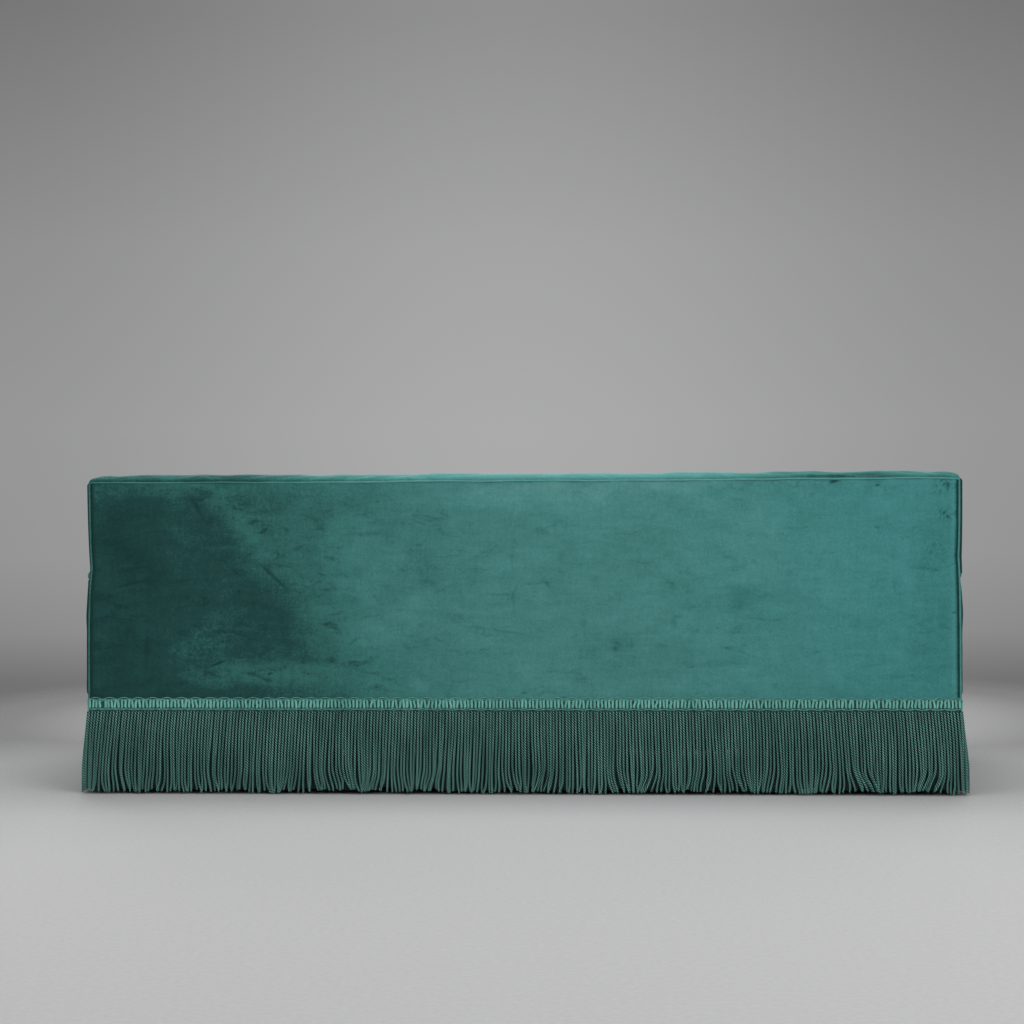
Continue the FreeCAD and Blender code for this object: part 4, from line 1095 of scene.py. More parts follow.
def build_inside_back():
    share = np.linspace(-1, 1, CROWN_COLUMNS)
    across = share[:, None]
    steps = np.hypot(*np.diff(back_section()[0], axis=0).T)
    y, z = section_at(share * CROWN_HALF)
    run = np.broadcast_to(np.concatenate([np.cumsum(steps[::-1])[::-1], [0]]), z.shape)
    outer = np.clip((np.abs(across) - PLAIN_SHARE) / (1 - PLAIN_SHARE), 0, 1)
    half = NARROW_HALF + (CROWN_HALF - NARROW_HALF) * smooth(0.512, 0.549, z)
    plain = np.minimum(np.abs(across), PLAIN_SHARE) * CROWN_HALF
    x = np.sign(across) * (plain + outer * (half - PLAIN_SHARE * CROWN_HALF))
    x = x + across * CORNER_SPREAD * smooth(0.045, 0.012, run)
    slope = unit(np.gradient(vectors(y, z), axis=1))
    inner = smooth(0.0, 0.06, CROWN_HALF - np.abs(x))
    soft = CROWN_WAVES * waves(42, 0.06, 0.25, x, z) * smooth(0.0, 0.03, run) * inner
    depth = tuft_dents(x, z) * smooth(0.07, 0.15, run) + crown_puckers(x, run) - soft
    y = y + depth * slope[..., 1]
    z = z - depth * slope[..., 0]
    tucked = x[:, -1] * BACK_TUCK
    rear_x = np.stack([tucked, tucked, x[:, 0]], axis=1)
    rear = vectors(rear_x, BACK_LOW.y - 0.0015, np.array(BACK_HEIGHTS))
    rings = np.concatenate([vectors(x, y, z), rear], axis=1)
    shade = np.zeros(rings.shape[:2])
    shade[:, : x.shape[1]] = crown_shade(x, run)
    made = piece("inside_back", *loft(rings), CROWN_VELVET, "velvet", shade=shade)
    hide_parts("inside_back_cover", "inside_back_pad")


DOME_STEPS = (0.0, 0.02, 0.05, 0.10, 0.18, 0.30, 0.45, 0.62, 0.80)
DOME_SHOULDER = 0.16
BORDER_INSET = 0.0015
BORDER_EASE = 0.0012
BORDER_DEPTH = 0.006
# The end borders: swell and how far the button draws them in, for each side
BORDER_RISE = {1: 0.0088, -1: 0.0096}
BORDER_DRAWN = {1: 1.0, -1: 0.6}


def domed(outline, spine_low, spine_high, outward, depth, rise):
    """A stretched panel: its outline, drawn in by steps towards a line up its middle, as it swells."""
    spine_low = np.array(spine_low)
    spine = np.array(spine_high) - spine_low
    share = np.clip((outline - spine_low) @ spine / (spine @ spine), 0, 1)
    middle = spine_low + share[:, None] * spine
    outward = np.array(outward, dtype=float)
    rings = [outline - outward * depth]
    for inset in DOME_STEPS:
        height = rise * (1 - (1 - min(1, inset / DOME_SHOULDER)) ** 3)
        rings.append(outline + (middle - outline) * inset + outward * height)
    return loft(np.stack(rings))


def build_side_borders():
    """The upholstered ends of the back above the arms."""
    rear_y = BORDER_HIGH.y
    tab_foot = SIDE_HIGH.z + 0.0004
    for side, label in SIDES:
        plane = side * (HALF_WIDTH - BORDER_INSET)
        y, z = section_at(np.array([side * CROWN_HALF]))
        line = vectors(y[0], z[0])
        line = line[line[:, 1] > BORDER_LOW.z]
        front = smooth(SHOULDER[1] + 0.02, SHOULDER[1] - 0.03, line[:, 1]) * (line[:, 0] < CREST_Y)
        line = line + vectors(0.0004 + BORDER_EASE * front, BORDER_EASE - BORDER_EASE * front)
        line = line[line[:, 0] < rear_y]
        rear = vectors(rear_y, np.linspace(line[-1, 1], tab_foot, 24))
        foot_y = np.linspace(rear_y, line[0, 0], 60)[1:-1]
        foot_z = BORDER_LOW.z + (tab_foot - BORDER_LOW.z) * smooth(0.365, 0.398, foot_y)
        y, z = np.concatenate([line, rear, vectors(foot_y, foot_z)]).T
        spine = ((plane, 0.355, 0.62), (plane, 0.365, 0.73))
        outline = vectors(plane, y, z)
        points, faces = domed(outline, *spine, (side, 0, 0), BORDER_DEPTH, BORDER_RISE[side])
        near = smooth(0.10, 0.0, rear_y - points[:, 1])
        points[:, 0] -= BORDER_DRAWN[side] * side * pinch(side, points[:, 2]) * near
        made = piece("back_end_" + label, points, faces, SIDE_VELVET, "velvet")
        if side > 0:
            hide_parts("back_side_borders")


# The arms

ARM_SHOULDER = 0.058
ARM_SHOULDER_HEIGHT = 0.505
ARM_TOP_BEGIN = 115.0
ARM_TOP_END = 62.7
ARM_TOP_RADIUS = 0.1446
ARM_EDGE = 0.0112
EDGE_INSET = 0.008
ARM_LIMIT = (1.0935, 9.0)
ARM_OUTER_LOW = 0.30
ARM_FRONT = 0.03
ARM_DRAW = 0.0045
ARM_INSET = 0.0012
ARM_WAVES = (0.0013, 0.0004)
ARM_SEAM = 1.0975
ARM_SEAM_HEIGHT = 0.5512
ARM_SEAM_END = 0.4067


def arm_outline(inset, low, outer_low):
    """Section of an arm, x and z, from the foot of its inner face over the top to its outer seam."""
    inner = FACING_LOW.x
    edge_radius = ARM_EDGE - min(inset, EDGE_INSET)
    wall = vectors(inner + inset, np.linspace(low, ARM_SHOULDER_HEIGHT, 44, endpoint=False))
    shoulder_centre = np.array((inner + ARM_SHOULDER, ARM_SHOULDER_HEIGHT))
    shoulder = arc(shoulder_centre, ARM_SHOULDER - inset, 180, ARM_TOP_BEGIN, 16)
    top_centre = shoulder_centre + (ARM_SHOULDER - ARM_TOP_RADIUS) * heading(ARM_TOP_BEGIN)
    top = arc(top_centre, ARM_TOP_RADIUS - inset, ARM_TOP_BEGIN, ARM_TOP_END, 26)
    edge_centre = top_centre + (ARM_TOP_RADIUS - ARM_EDGE) * heading(ARM_TOP_END)
    edge = arc(edge_centre, edge_radius, ARM_TOP_END, 0, 8)
    outside = vectors(edge_centre[0] + edge_radius, np.linspace(edge_centre[1], outer_low, 30))
    return np.concatenate([wall, shoulder, top, edge, outside])


def arm_form(side):
    """The padded arm under its cover: full in the middle, drawn in at the front seam."""
    begin = np.linspace(ARM_LOW.y, ARM_LOW.y + ARM_FRONT, 12, endpoint=False)
    rings = []
    for y in np.concatenate([begin, np.linspace(ARM_LOW.y + ARM_FRONT, ARM_HIGH.y, 110)]):
        draw = ARM_DRAW * bell(y - ARM_LOW.y, 0.009) + ARM_INSET
        x, z = np.minimum(arm_outline(draw, ARM_LOW.z, ARM_OUTER_LOW), ARM_LIMIT).T
        rings.append(vectors(x, y, z))
    x, y, z = np.moveaxis(np.stack(rings), -1, 0)
    inner = smooth(1.06, 1.00, x)
    broad = ARM_WAVES[0] * waves(51 + side, 0.09, 0.30, y, x + z)
    fine = ARM_WAVES[1] * waves(53 + side, 0.03, 0.08, y, x + z)
    dip = (broad + fine) * inner * smooth(0.0, 0.05, y - ARM_LOW.y)
    x = x + dip * smooth(0.55, 0.50, z)
    z = z - dip * smooth(0.50, 0.55, z)
    return loft(vectors(side * x, y, z))


def facing_panel(side):
    """The front of an arm, domed inside its piping."""
    outline = arm_outline(0.0015, FACING_LOW.z, FACING_LOW.z)
    foot = vectors(np.linspace(outline[-1, 0], outline[0, 0], 20)[1:-1], FACING_LOW.z)
    x, z = np.concatenate([outline, foot]).T
    y = FACING_HIGH.y - 0.002
    middle = side * 0.5 * (FACING_LOW.x + FACING_HIGH.x)
    spine = ((middle, y, FACING_LOW.z + 0.085), (middle, y, 0.485))
    return domed(vectors(side * x, y, z), *spine, (0, -1, 0), 0.0038, 0.0042)


def arm_piping():
    """Piping round each facing and along each outer arm seam."""
    x, z = arm_outline(0.007, BRAID_HIGH.z, BRAID_HIGH.z).T
    loop = vectors(x, FACING_LOW.y - 0.0035, z)
    along = np.arange(SIDE_LOW.y, ARM_SEAM_END, PIPING_STEP)
    seam_x = ARM_SEAM - 0.0050 * smooth(0.390, 0.406, along)
    seam = vectors(seam_x, along, ARM_SEAM_HEIGHT + 0.0005 * waves(61, 0.06, 0.3, along))
    parts = [tube(loop, PIPING_RADIUS), tube(seam, uneven(len(seam), 62))]
    return joined(parts + [mirrored(part) for part in parts])


def build_arms():
    for side, label in SIDES:
        made = piece("arm_" + label, *arm_form(side), VELVET, "velvet")
        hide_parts("inside_arm_cover_" + label, "arm_pad_" + label)
        made = piece("arm_front_" + label, *facing_panel(side), VELVET, "velvet")
        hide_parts("arm_facing_" + label)
        made = piece("outside_arm_" + label, *side_panel(side), SIDE_VELVET, "velvet")
        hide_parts("outside_arm_cover_" + label)
    made = piece("arm_seam_piping", *arm_piping(), PIPING_VELVET, "piping")
    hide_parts("arm_piping")


# The seat

FRONT_SWELL = 0.0015
FRONT_TUCK = 0.004
FRONT_WAVES = 0.0005
DECK_THICKNESS = 0.016
DECK_HOLLOW = 0.004
DECK_WAVES = 0.0006
SHEET_THICKNESS = 0.0008
SHEET_REACH = 0.3
SHEET_WAVES = 0.0006


def box_grid(low, high, axes, counts):
    """A grid over two axes of a box."""
    return np.meshgrid(*(np.linspace(low[k], high[k], count) for k, count in zip(axes, counts)))


def rim_room(x, y, low, high):
    """How far points lie in from the rim of a box that is even to both sides."""
    return np.minimum(high.x - np.abs(x), np.minimum(y - low.y, high.y - y))


def build_front_border():
    x, z = box_grid(FRONT_LOW, FRONT_HIGH, (0, 2), (340, 36))
    tuck = FRONT_TUCK * bell(FRONT_HIGH.z - z, 0.008)
    y = FRONT_LOW.y - FRONT_SWELL + tuck + FRONT_WAVES * waves(71, 0.05, 0.2, x, z)
    y = pressed(y, FRONT_LOW.y + UNDER_BRAID, z, 0.02)
    made = piece("front_border", *slab(vectors(x, y, z), (0, COVER_THICKNESS, 0)), VELVET, "velvet")
    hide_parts("front_border_cover", "front_border_pad")


def build_deck():
    x, y = box_grid(DECK_LOW, DECK_HIGH, (0, 1), (220, 90))
    hollow = DECK_HOLLOW * smooth(0.0, 0.12, rim_room(x, y, DECK_LOW, DECK_HIGH))
    z = DECK_HIGH.z - hollow + DECK_WAVES * waves(72, 0.08, 0.3, x, y)
    made = piece("seat_deck", *slab(vectors(x, y, z), (0, 0, -DECK_THICKNESS)), VELVET, "velvet")
    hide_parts("seat_deck_cover", "seat_deck_pad")


def sagged_sheet(node, name, sag):
    """A cloth tacked to the frame, sagging a little between its edges."""
    low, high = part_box(node)
    x, y = box_grid(low, high, (0, 1), (160, 64))
    inner = np.clip(rim_room(x, y, low, high) / SHEET_REACH, 0, 1)
    hang = sag * np.sin(0.5 * math.pi * inner)
    z = high.z - hang - SHEET_WAVES * np.abs(waves(73, 0.06, 0.3, x, y))
    made = piece(name, *slab(vectors(x, y, z), (0, 0, -SHEET_THICKNESS)), FRAME_FINISHES[name], name)
    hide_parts(node)


# The braid and the fringe

TRIM_CORNER = 0.006
BELLY_CORNER = 0.030
BAR_PITCH = 0.0091
BAR_TOP = BRAID_HIGH.z - 0.0044
BAR_FOOT = BRAID_LOW.z + 0.0042
BAR_RINGS = 15
BAR_SIDES = 8
BAR_GAP = 0.0028
BAR_DEPTH = 0.0024
BAR_WIDTH = 0.0030
BAR_END = 0.72
BAR_WINDING = 0.06
# How far the bars stray: hook at the top, kick at the foot, lean, wave, place, top, foot, share of the width
BAR_HOOK = (0.0, 0.0021)
BAR_KICK = (-0.0004, 0.0014)
BAR_LEAN = 0.0006
BAR_WAVE = 0.0006
BAR_STRAY = 0.0004
BAR_TOP_STRAY = 0.0004
BAR_FOOT_STRAY = 0.0003
BAR_WIDTH_STRAY = 0.07
JOIN_GAP = 0.0040
TAPE_FOOT = BRAID_LOW.z - 0.005
TAPE_GAPS = (0.0002, 0.0016)
TAPE_STEPS = 220
SCALLOP = 0.0367
STRAND_STEP = 0.0021
STRAND_SIDES = 6
JOIN_PLACE = 1.061
# Cords looping along the braid: height of their base, rise, phase, standoff, radius, sharpness
BRAID_STRANDS = [
    (BAR_TOP - 0.0032, 0.0086, 0.0, 0.0026, 0.00105, 0.6),
    (BAR_TOP - 0.0060, 0.0072, 0.0, 0.0046, 0.00085, 0.6),
    (BAR_TOP - 0.0045, 0.0060, 0.5, 0.0024, 0.00095, 0.8),
    (BRAID_LOW.z + 0.0028, -0.0030, 0.25, 0.0042, 0.00095, 0.7),
    (BRAID_LOW.z + 0.0034, -0.0016, 0.75, 0.0036, 0.00085, 2.0),
]


def side_run(turn, share, standoff, radius=TRIM_CORNER):
    """Points and outward directions along one side of a rounded rectangle, seen from above.

    Side 0 is the back; the others follow as the sofa turns a quarter each time. A share of 0 or 1 is the
    middle of a corner.
    """
    halves = (HALF_WIDTH + standoff, HALF_DEPTH + standoff)
    along, across = halves if turn % 2 == 0 else halves[::-1]
    bend = radius * math.pi / 4
    straight = 2 * (along - radius)
    run = share * (straight + 2 * bend) - bend
    angle = (np.clip(run - straight, 0, None) - np.clip(-run, 0, None)) / radius
    out_x = -np.sin(angle)
    out_y = np.cos(angle)
    x = along - radius - np.clip(run, 0, straight) + radius * out_x
    y = across - radius + radius * out_y
    for _ in range(turn):
        x, y = -y, x
        out_x, out_y = -out_y, out_x
    return vectors(x, y), vectors(out_x, out_y)


def side_length(turn):
    return 2 * (HALF_WIDTH if turn % 2 == 0 else HALF_DEPTH)


def many_tubes(centre, first, second, shape):
    """Tubes side by side, from arrays of tube, ring and vector; shape holds the points of each ring."""
    tubes, rings = centre.shape[:2]
    sides = shape.shape[-2]
    points = centre[:, :, None] + shape[..., 0:1] * first[:, :, None] + shape[..., 1:2] * second[:, :, None]
    step = rings * sides * np.arange(tubes)[:, None, None]
    wall = (quads(rings, sides, True) + step).reshape(-1, 4)
    ends = (end_caps(rings, sides) + step).reshape(-1, sides)
    return points.reshape(-1, 3), [wall, ends]


def braid_bars(turn, seed):
    """The wound bars of the braid along one side, which lean together in pairs at the top and apart below."""
    dice = np.random.default_rng(seed)
    length = side_length(turn)
    count = 2 * round(length / (2 * BAR_PITCH))
    share = (np.arange(count) + 0.5) / count + dice.normal(0, BAR_STRAY, count) / length
    if turn == 0:
        past_join = (HALF_WIDTH - JOIN_PLACE) - share * length
        share = share - JOIN_GAP * np.sign(past_join) * bell(past_join, 0.014, 1) / length
    place, outward = side_run(turn, share, BAR_GAP)
    along = vectors(outward[:, 1], -outward[:, 0])
    step = np.linspace(0, 1, BAR_RINGS)
    pair = (-1.0) ** np.arange(count)
    hook = pair * dice.uniform(*BAR_HOOK, count)
    kick = pair * dice.uniform(*BAR_KICK, count)
    lean = dice.normal(0, BAR_LEAN, count)
    wave = dice.normal(0, BAR_WAVE, count)
    slide = hook[:, None] * smooth(0.30, 0.0, step) - kick[:, None] * smooth(0.70, 1.0, step)
    slide = slide + lean[:, None] * (step - 0.5) + wave[:, None] * np.sin(FULL_TURN * step)
    top = BAR_TOP + dice.normal(0, BAR_TOP_STRAY, count)
    foot = BAR_FOOT + dice.normal(0, BAR_FOOT_STRAY, count)
    height = top[:, None] + (foot - top)[:, None] * step
    centre = at_height(place[:, None] + along[:, None] * slide[..., None], height)
    first = np.broadcast_to(at_height(outward, 0.0)[:, None], centre.shape)
    second = np.broadcast_to(at_height(along, 0.0)[:, None], centre.shape)
    angle = ring_angles(BAR_SIDES)
    past = np.clip((np.abs(2 * step - 1) - BAR_END) / (1 - BAR_END), 0, 1)
    wound = 1 + BAR_WINDING * (-1.0) ** np.arange(BAR_RINGS)
    size = (wound * np.sqrt(1 - 0.96 * past**2))[None, :, None]
    wide = dice.normal(1, BAR_WIDTH_STRAY, count)[:, None, None]
    shape = vectors(BAR_DEPTH * size * np.cos(angle), BAR_WIDTH * wide * size * np.sin(angle))
    return many_tubes(centre, first, second, shape)


def braid_strand(turn, base, rise, phase, standoff, radius, sharpness):
    """A thin cord looping along one side of the braid."""
    length = side_length(turn)
    share = np.linspace(0, 1, round(length / STRAND_STEP))
    run = share * length / SCALLOP + phase
    height = base + rise * np.abs(np.sin(math.pi * run)) ** sharpness
    return tube(at_height(side_run(turn, share, standoff)[0], height), radius, STRAND_SIDES)


def braid_tape():
    """The flat tape behind the bars, all the way round."""
    share = np.linspace(0, 1, TAPE_STEPS, endpoint=False)
    near, far = TAPE_GAPS
    lines = []
    for standoff, height in ((near, TAPE_FOOT), (far, TAPE_FOOT), (far, BAR_TOP), (near, BAR_TOP)):
        runs = [side_run(turn, share, standoff)[0] for turn in range(4)]
        lines.append(at_height(np.concatenate(runs), height))
    return hoop(np.stack(lines, axis=1))


def build_braid():
    bars = [braid_bars(turn, 81 + turn) for turn in range(4)]
    strands = [braid_strand(turn, *strand) for turn in range(4) for strand in BRAID_STRANDS]
    made = piece("braid_bars", *joined(bars), BRAID_YARN, "gimp")
    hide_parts("gimp_braid")
    piece("braid_cords", *joined(strands), CORD_YARN, "gimp")
    piece("braid_tape", *braid_tape(), TAPE_YARN, "gimp")


CORD_PITCH = 0.0079
CORD_RINGS = 150
CORD_SIDES = 8
CORD_TWIST = 0.0133
CORD_TIP = 0.978
CORD_TIP_LENGTH = 0.0222
# How far the cords stray: sway, sweep and curl together or alone, layers, uneven feet
CORD_SWAY = 0.0020
CORD_OWN_SWAY = 0.0012
CORD_SWEEP = 0.0078
CORD_CURL = 0.0034
CORD_STRAY = 0.0003
CORD_LAYER = 0.0020
CORD_LAYER_STRAY = 0.0012
CORD_RAGGED = 0.0012
CORD_FOOT_STRAY = 0.0030
CORNER_LIFT = 0.008
LOOSE_BOW = 0.0090
PLY_RADIUS = 0.00144
PLY_OFFSET = 0.00126
FRINGE_HEAD = BRAID_LOW.z - 0.0038
FRINGE_FOOT = 0.0014
CORDS_IN_PIECE = 70
LOOSE_CORD = 5
LINING_RINGS = 46
LINING_SIDES = 6
LINING_RADIUS = 0.0044
# Rows of cords: rings, standoff at the head and at the belly, shift, freedom, height of the feet
FRONT_ROW = (CORD_RINGS, 0.0036, 0.0180, 0.0, 1.0, FRINGE_FOOT)
LINING_ROW = (LINING_RINGS, 0.0005, 0.0090, 0.5, 0.2, FRINGE_FOOT + 0.006)


def ply_reach(angle):
    """Distance from the cord's middle to the outside of its two plies."""
    reach = PLY_OFFSET * np.abs(np.cos(angle))
    return reach + np.sqrt(PLY_RADIUS**2 - (PLY_OFFSET * np.sin(angle)) ** 2)


def fringe_cords(turn, seed, rings, head_gap, belly_gap, shift, freedom, foot_height):
    """Middle lines of the cords of one side, the directions across them and the turn of each."""
    dice = np.random.default_rng(seed)
    length = side_length(turn)
    count = round(length / CORD_PITCH)
    share = (np.arange(count) + 0.5 + shift) / count
    along = share * length
    down = np.linspace(0, 1, rings)
    free = freedom * smooth(0.0, 0.045, np.minimum(along, length - along))[:, None]
    sway = CORD_SWAY * waves(seed + 10, 0.05, 0.20, along)
    sweep = CORD_SWEEP * waves(seed + 20, 0.06, 0.16, along)
    own = dice.normal(0, CORD_OWN_SWAY, count)
    curl = dice.normal(0, CORD_CURL, count)
    late = dice.uniform(0.60, 0.76, count)[:, None]
    slide = sway[:, None] * smooth(0.20, 0.85, down) + own[:, None] * smooth(0.15, 0.9, down)
    slide = slide + sweep[:, None] * smooth(late, 1.04, down[None]) ** 1.2
    slide = slide + curl[:, None] * smooth(0.84, 1.02, down) ** 1.5
    slide = slide * free + dice.normal(0, CORD_STRAY, count)[:, None]
    moved = share[:, None] + slide / length
    flare = 1 - (1 - down) ** 2.2
    head, _ = side_run(turn, moved, head_gap)
    belly, outward = side_run(turn, moved, belly_gap, BELLY_CORNER)
    layer = CORD_LAYER * (-1.0) ** np.arange(count) + dice.normal(0, CORD_LAYER_STRAY, count)
    layer = freedom * layer[:, None] * smooth(0.15, 0.75, down)
    ragged = CORD_RAGGED * np.clip(1 + waves(seed + 30, 0.10, 0.30, along), 0, 3)
    foot = foot_height + np.abs(dice.normal(0, CORD_FOOT_STRAY, count)) + 0.25 * np.abs(sweep) + ragged
    if turn == 0 and rings == CORD_RINGS:
        foot = foot + CORNER_LIFT * smooth(0.035, 0.0, along)
    if turn == 1 and rings == CORD_RINGS:
        layer[LOOSE_CORD] += LOOSE_BOW * np.sin(math.pi * np.clip((down - 0.42) / 0.56, 0, 1))
    level = head + (belly - head) * flare[:, None] + outward * layer[..., None]
    centre = at_height(level, FRINGE_HEAD + (foot - FRINGE_HEAD)[:, None] * down)
    ahead = unit(np.gradient(centre, axis=1))
    first = at_height(outward, 0.0)
    first = unit(first - ahead * np.sum(first * ahead, axis=-1, keepdims=True))
    return centre, first, np.cross(ahead, first), dice.uniform(0, FULL_TURN, count)


def build_fringe():
    """Two-ply cords in front, and a plainer row of the same cords behind them, coloured near black as painted
    shade.
    """
    angle = ring_angles(CORD_SIDES)
    reach = ply_reach(angle)
    down = np.linspace(0, 1, CORD_RINGS)
    tip = np.sqrt(np.clip(1 - (np.clip(down - CORD_TIP, 0, 1) / CORD_TIP_LENGTH) ** 2, 0.04, 1))
    size = reach * tip[:, None]
    twist = FULL_TURN * down * (FRINGE_HEAD - FRINGE_FOOT) / CORD_TWIST
    crest = (reach - reach.min()) / (reach.max() - reach.min())
    lining_angle = ring_angles(LINING_SIDES)
    lining_shape = LINING_RADIUS * vectors(np.cos(lining_angle), np.sin(lining_angle))
    for turn, label in enumerate(("back", "right", "front", "left")):
        centre, first, second, start = fringe_cords(turn, 101 + turn, *FRONT_ROW)
        around = angle - (twist[None, :, None] + start[:, None, None])
        shape = vectors(size * np.cos(around), size * np.sin(around))
        for number, begin in enumerate(range(0, len(centre), CORDS_IN_PIECE)):
            part = slice(begin, begin + CORDS_IN_PIECE)
            cords = many_tubes(centre[part], first[part], second[part], shape[part])
            name = "fringe_%s_%d" % (label, number + 1)
            # Each point's place between groove and crest, from which the yarn paints shade into the grooves.
            shade = np.broadcast_to(crest, shape[part].shape[:-1])
            made = piece(name, *cords, FRINGE_YARN, "fringe", sharp=None, shade=shade)
            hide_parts("fringe_" + label)
        centre, first, second, _ = fringe_cords(turn, 151 + turn, *LINING_ROW)
        shape = np.broadcast_to(lining_shape, centre.shape[:2] + lining_shape.shape)
        rows = many_tubes(centre, first, second, shape)
        made = piece("fringe_lining_" + label, *rows, LINING_SHADE_YARN, "fringe", sharp=None)
        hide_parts("fringe_" + label)


# Buttons

BUTTON_RADIUS = 0.0105
BUTTON_RISE = 0.0075
BUTTON_TIP = 0.0004
BUTTON_GATHERS = 15
BUTTON_RINGS = 14
BUTTON_SIDES = 48
GATHER_DEPTH = 0.035
TUFT_FRONT = 0.2910
SIDE_BUTTON_X = 1.0975
SIDE_BUTTON_Y = 0.424


def button(place, outward, across):
    """A covered button: a dome of cloth gathered at its rim."""
    share = np.linspace(0, 1, BUTTON_RINGS)[:, None]
    angle = ring_angles(BUTTON_SIDES)
    radius = BUTTON_RADIUS * np.cos(0.5 * math.pi * share) ** 0.62
    radius[-1] = BUTTON_TIP
    height = BUTTON_RISE * np.sin(0.5 * math.pi * share) ** 1.1
    size = radius * (1 + GATHER_DEPTH * (1 - share) * np.cos(BUTTON_GATHERS * angle))
    rings = np.array(place) + height[..., None] * np.array(outward)
    rings = rings + (size * np.cos(angle))[..., None] * np.array(across)
    return loft(rings + (size * np.sin(angle))[..., None] * np.array((0, 0, 1)))


def build_buttons():
    parts = [button((x, TUFT_FRONT, z), (0, -1, 0), (1, 0, 0)) for x, z in TUFTS]
    for side, _ in SIDES:
        parts.append(button((side * SIDE_BUTTON_X, SIDE_BUTTON_Y, BUTTON_HEIGHT), (side, 0, 0), (0, 1, 0)))
    made = piece("buttons", *joined(parts), VELVET, "velvet")
    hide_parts("covered_buttons")


# Seat cushions

SIM_FRAMES = 20
VOXEL = 0.006
CUSHION_CAP = (0.004, 0.005, 0.016)
CUSHION_SEAMS = (0.004, 0.146)
CUSHION_PIPING = 0.0043
CUSHION_PIPING_INSET = 0.004
CUSHION_CORNER = 0.019
CUSHION_STEP = 0.006
CUSHION_WAVES = (0.0022, 0.0009)
CUSHION_SEAT = 0.006
CUSHION_PUCKERS = 0.0012
# Points of a cushion that the swelling leaves in place: this near the rim and a seam, or this low
HELD_RIM = 0.013
HELD_SEAM = 0.007
HELD_FOOT = 0.003
CLOTH_SETTINGS = {
    "quality": 6,
    "mass": 0.25,
    "tension_stiffness": 12,
    "compression_stiffness": 12,
    "bending_stiffness": 0.4,
    "use_pressure": True,
    "uniform_pressure_force": 4.0,
    "vertex_group_mass": "held",
}


def remeshed(node):
    """A new object with the form of a CAD node, in even small faces."""
    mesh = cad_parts[node].data.copy()
    form = bpy.data.objects.new("cushion_form", mesh)
    bpy.context.scene.collection.objects.link(form)
    even = form.modifiers.new("even", "REMESH")
    even.mode = "VOXEL"
    even.voxel_size = VOXEL
    shaped = form.evaluated_get(bpy.context.evaluated_depsgraph_get())
    form_mesh = bpy.data.meshes.new_from_object(shaped)
    form.modifiers.clear()
    form.data = form_mesh
    return form


def mesh_points(mesh):
    points = np.empty(len(mesh.vertices) * 3, dtype=np.float32)
    mesh.vertices.foreach_get("co", points)
    return points.reshape(-1, 3).astype(float)


def inflate(form, held):
    """Swells a form with air pressure as cloth, holding some points, and returns the moved points."""
    group = form.vertex_groups.new(name="held")
    group.add(np.flatnonzero(held).tolist(), 1.0, "REPLACE")
    cloth = form.modifiers.new("cloth", "CLOTH")
    for key, value in CLOTH_SETTINGS.items():
        setattr(cloth.settings, key, value)
    cloth.settings.effector_weights.gravity = 0
    cloth.collision_settings.use_collision = False
    cloth.point_cache.frame_start = 1
    cloth.point_cache.frame_end = SIM_FRAMES
    for number in range(1, SIM_FRAMES + 1):
        bpy.context.scene.frame_set(number)
    shaped = form.evaluated_get(bpy.context.evaluated_depsgraph_get())
    moved = mesh_points(shaped.to_mesh())
    shaped.to_mesh_clear()
    form.modifiers.clear()
    bpy.context.scene.frame_set(1)
    return moved


def cushion_form():
    """Points and faces of a seat cushion, swollen between its piped edges, and each point's room."""
    low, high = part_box("cushion_cover_centre")
    form = remeshed("cushion_cover_centre")
    points = mesh_points(form.data)
    x, y, z = points.T
    room = rim_room(x, y, low, high)
    seam_low, seam_high = (np.abs(z - (low.z + height)) < HELD_SEAM for height in CUSHION_SEAMS)
    held = ((room < HELD_RIM) & (seam_low | seam_high)) | (z < low.z + HELD_FOOT)
    move = inflate(form, held) - points
    points = points + np.clip(move, (-CUSHION_CAP[0], -CUSHION_CAP[1], 0), CUSHION_CAP)
    faces = [np.array([list(face.vertices) for face in form.data.polygons if len(face.vertices) == 4])]
    bpy.data.objects.remove(form)
    return points, faces, room


def cushion_piping(shift):
    """The two piped seams of a cushion."""
    low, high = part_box("cushion_piping_centre")
    half = high.x - CUSHION_PIPING_INSET - CUSHION_CORNER
    front = low.y + CUSHION_PIPING_INSET + CUSHION_CORNER
    rear = high.y - CUSHION_PIPING_INSET - CUSHION_CORNER
    centres = ((half, rear), (-half, rear), (-half, front), (half, front))
    arcs = [arc(centre, CUSHION_CORNER, 90 * k, 90 * k + 90, 12) for k, centre in enumerate(centres)]
    path = np.concatenate(arcs)
    dense = []
    for begin, end in zip(path, np.roll(path, -1, axis=0)):
        count = max(1, round(np.hypot(*(end - begin)) / CUSHION_STEP))
        dense.append(begin + (end - begin) * np.linspace(0, 1, count, endpoint=False)[:, None])
    x, y = np.concatenate(dense).T
    x = x + shift
    along = CUSHION_STEP * np.arange(len(x))
    tubes = []
    for number, height in enumerate((low.z + CUSHION_PIPING_INSET, high.z - CUSHION_PIPING_INSET)):
        lift = 0.0007 * np.abs(waves(131 + number, 0.08, 0.3, x, y))
        swell = CUSHION_PIPING * (1 + 0.03 * waves(133 + number, 0.015, 0.06, along))
        tubes.append(tube(vectors(x, y, height + lift), swell, closed=True))
    return joined(tubes)


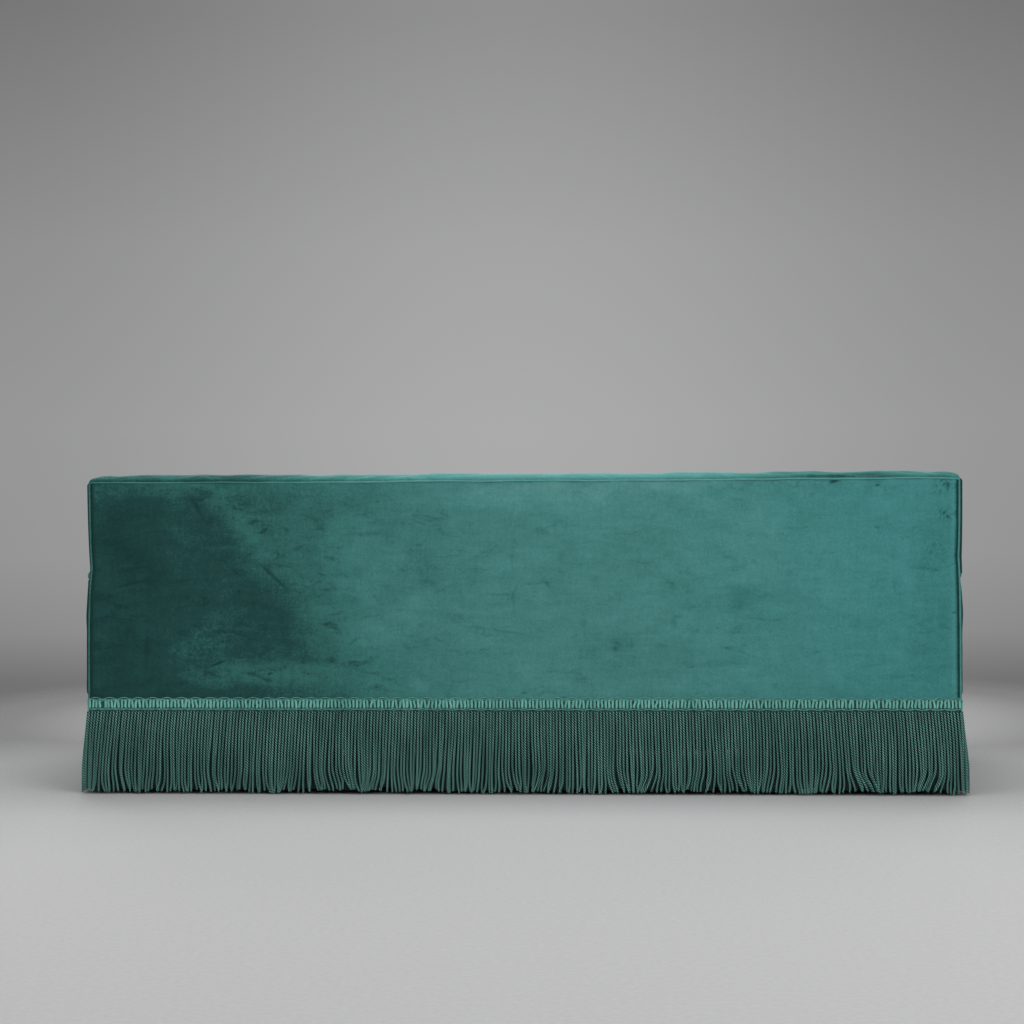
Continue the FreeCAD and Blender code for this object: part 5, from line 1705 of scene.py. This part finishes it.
def build_cushions():
    points, faces, room = cushion_form()
    first_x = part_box("cushion_cover_centre")[0].x
    for number, label in enumerate(("left", "centre", "right")):
        body = "cushion_" + label
        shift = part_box("cushion_cover_" + label)[0].x - first_x
        x, y, z = (points + (shift, 0, 0)).T
        top = smooth(0.40, 0.44, z) * smooth(0.0, 0.06, room)
        broad = CUSHION_WAVES[0] * waves(121 + number, 0.14, 0.40, x, y)
        fine = CUSHION_WAVES[1] * waves(125 + number, 0.03, 0.09, x, y)
        seat = CUSHION_SEAT * bell(x - shift, 0.16) * bell(y + 0.12, 0.18)
        z = z + top * (broad + fine - seat)
        side = smooth(0.020, 0.0, room) * smooth(0.30, 0.33, z) * smooth(0.43, 0.40, z)
        y = y + side * CUSHION_PUCKERS * waves(128 + number, 0.03, 0.12, x, z) * (y < -0.40)
        made = piece("seat_cushion_" + label, vectors(x, y, z), faces, VELVET, "velvet", body)
        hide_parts("cushion_cover_" + label, "cushion_core_" + label)
        made = piece("seat_cushion_piping_" + label, *cushion_piping(shift), PIPING_VELVET, "piping", body)
        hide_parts("cushion_piping_" + label)


# Straps behind the inside back

STRAP_WIDTH = 0.050
STRAP_THICKNESS = 0.0009
STRAP_SPACING = 0.210
BAND_SPACING = 0.082
STRAP_STEP = 0.0009


def strap(level, height, middle, crossings, along_height):
    """One woven strap, which steps forwards or back at each crossing."""
    x, z = np.meshgrid(level, height)
    along = z if along_height else x
    y = np.full_like(x, middle)
    for place, step in crossings:
        y = y + step * bell(along - place, 0.6 * STRAP_WIDTH, 4)
    return slab(vectors(x, y, z), (0, STRAP_THICKNESS, 0))


def build_webbing():
    """Upright and level straps, woven over and under each other."""
    low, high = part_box("back_webbing")
    levels = [low.z + row * BAND_SPACING + STRAP_WIDTH / 2 for row in (1, 2, 3)]
    places = [STRAP_SPACING * k for k in range(-4, 5)]
    width = STRAP_WIDTH * np.linspace(-0.5, 0.5, 7)
    middle = 0.5 * (low.y + high.y)
    parts = []
    for k, place in enumerate(places):
        crossings = [(level, STRAP_STEP * (-1) ** (k + row)) for row, level in enumerate(levels)]
        parts.append(strap(place + width, np.linspace(low.z, high.z, 90), middle, crossings, True))
    for row, level in enumerate(levels):
        crossings = [(place, -STRAP_STEP * (-1) ** (k + row)) for k, place in enumerate(places)]
        parts.append(strap(np.linspace(low.x, high.x, 300), level + width, middle, crossings, False))
    made = piece("back_straps", *joined(parts), FRAME_FINISHES["webbing"], "webbing")
    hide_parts("back_webbing")


build_stage()
build_outside_back()
build_back_piping()
build_inside_back()
build_side_borders()
build_arms()
build_front_border()
build_deck()
build_cushions()
build_buttons()
build_braid()
build_fringe()
build_webbing()
sagged_sheet("dust_cover", "dust_cloth", 0.008)
sagged_sheet("seat_hessian", "hessian", 0.002)

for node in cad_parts.values():
    for place in node.material_slots:
        if place.material.name in FRAME_FINISHES:
            place.material = FRAME_FINISHES[place.material.name]
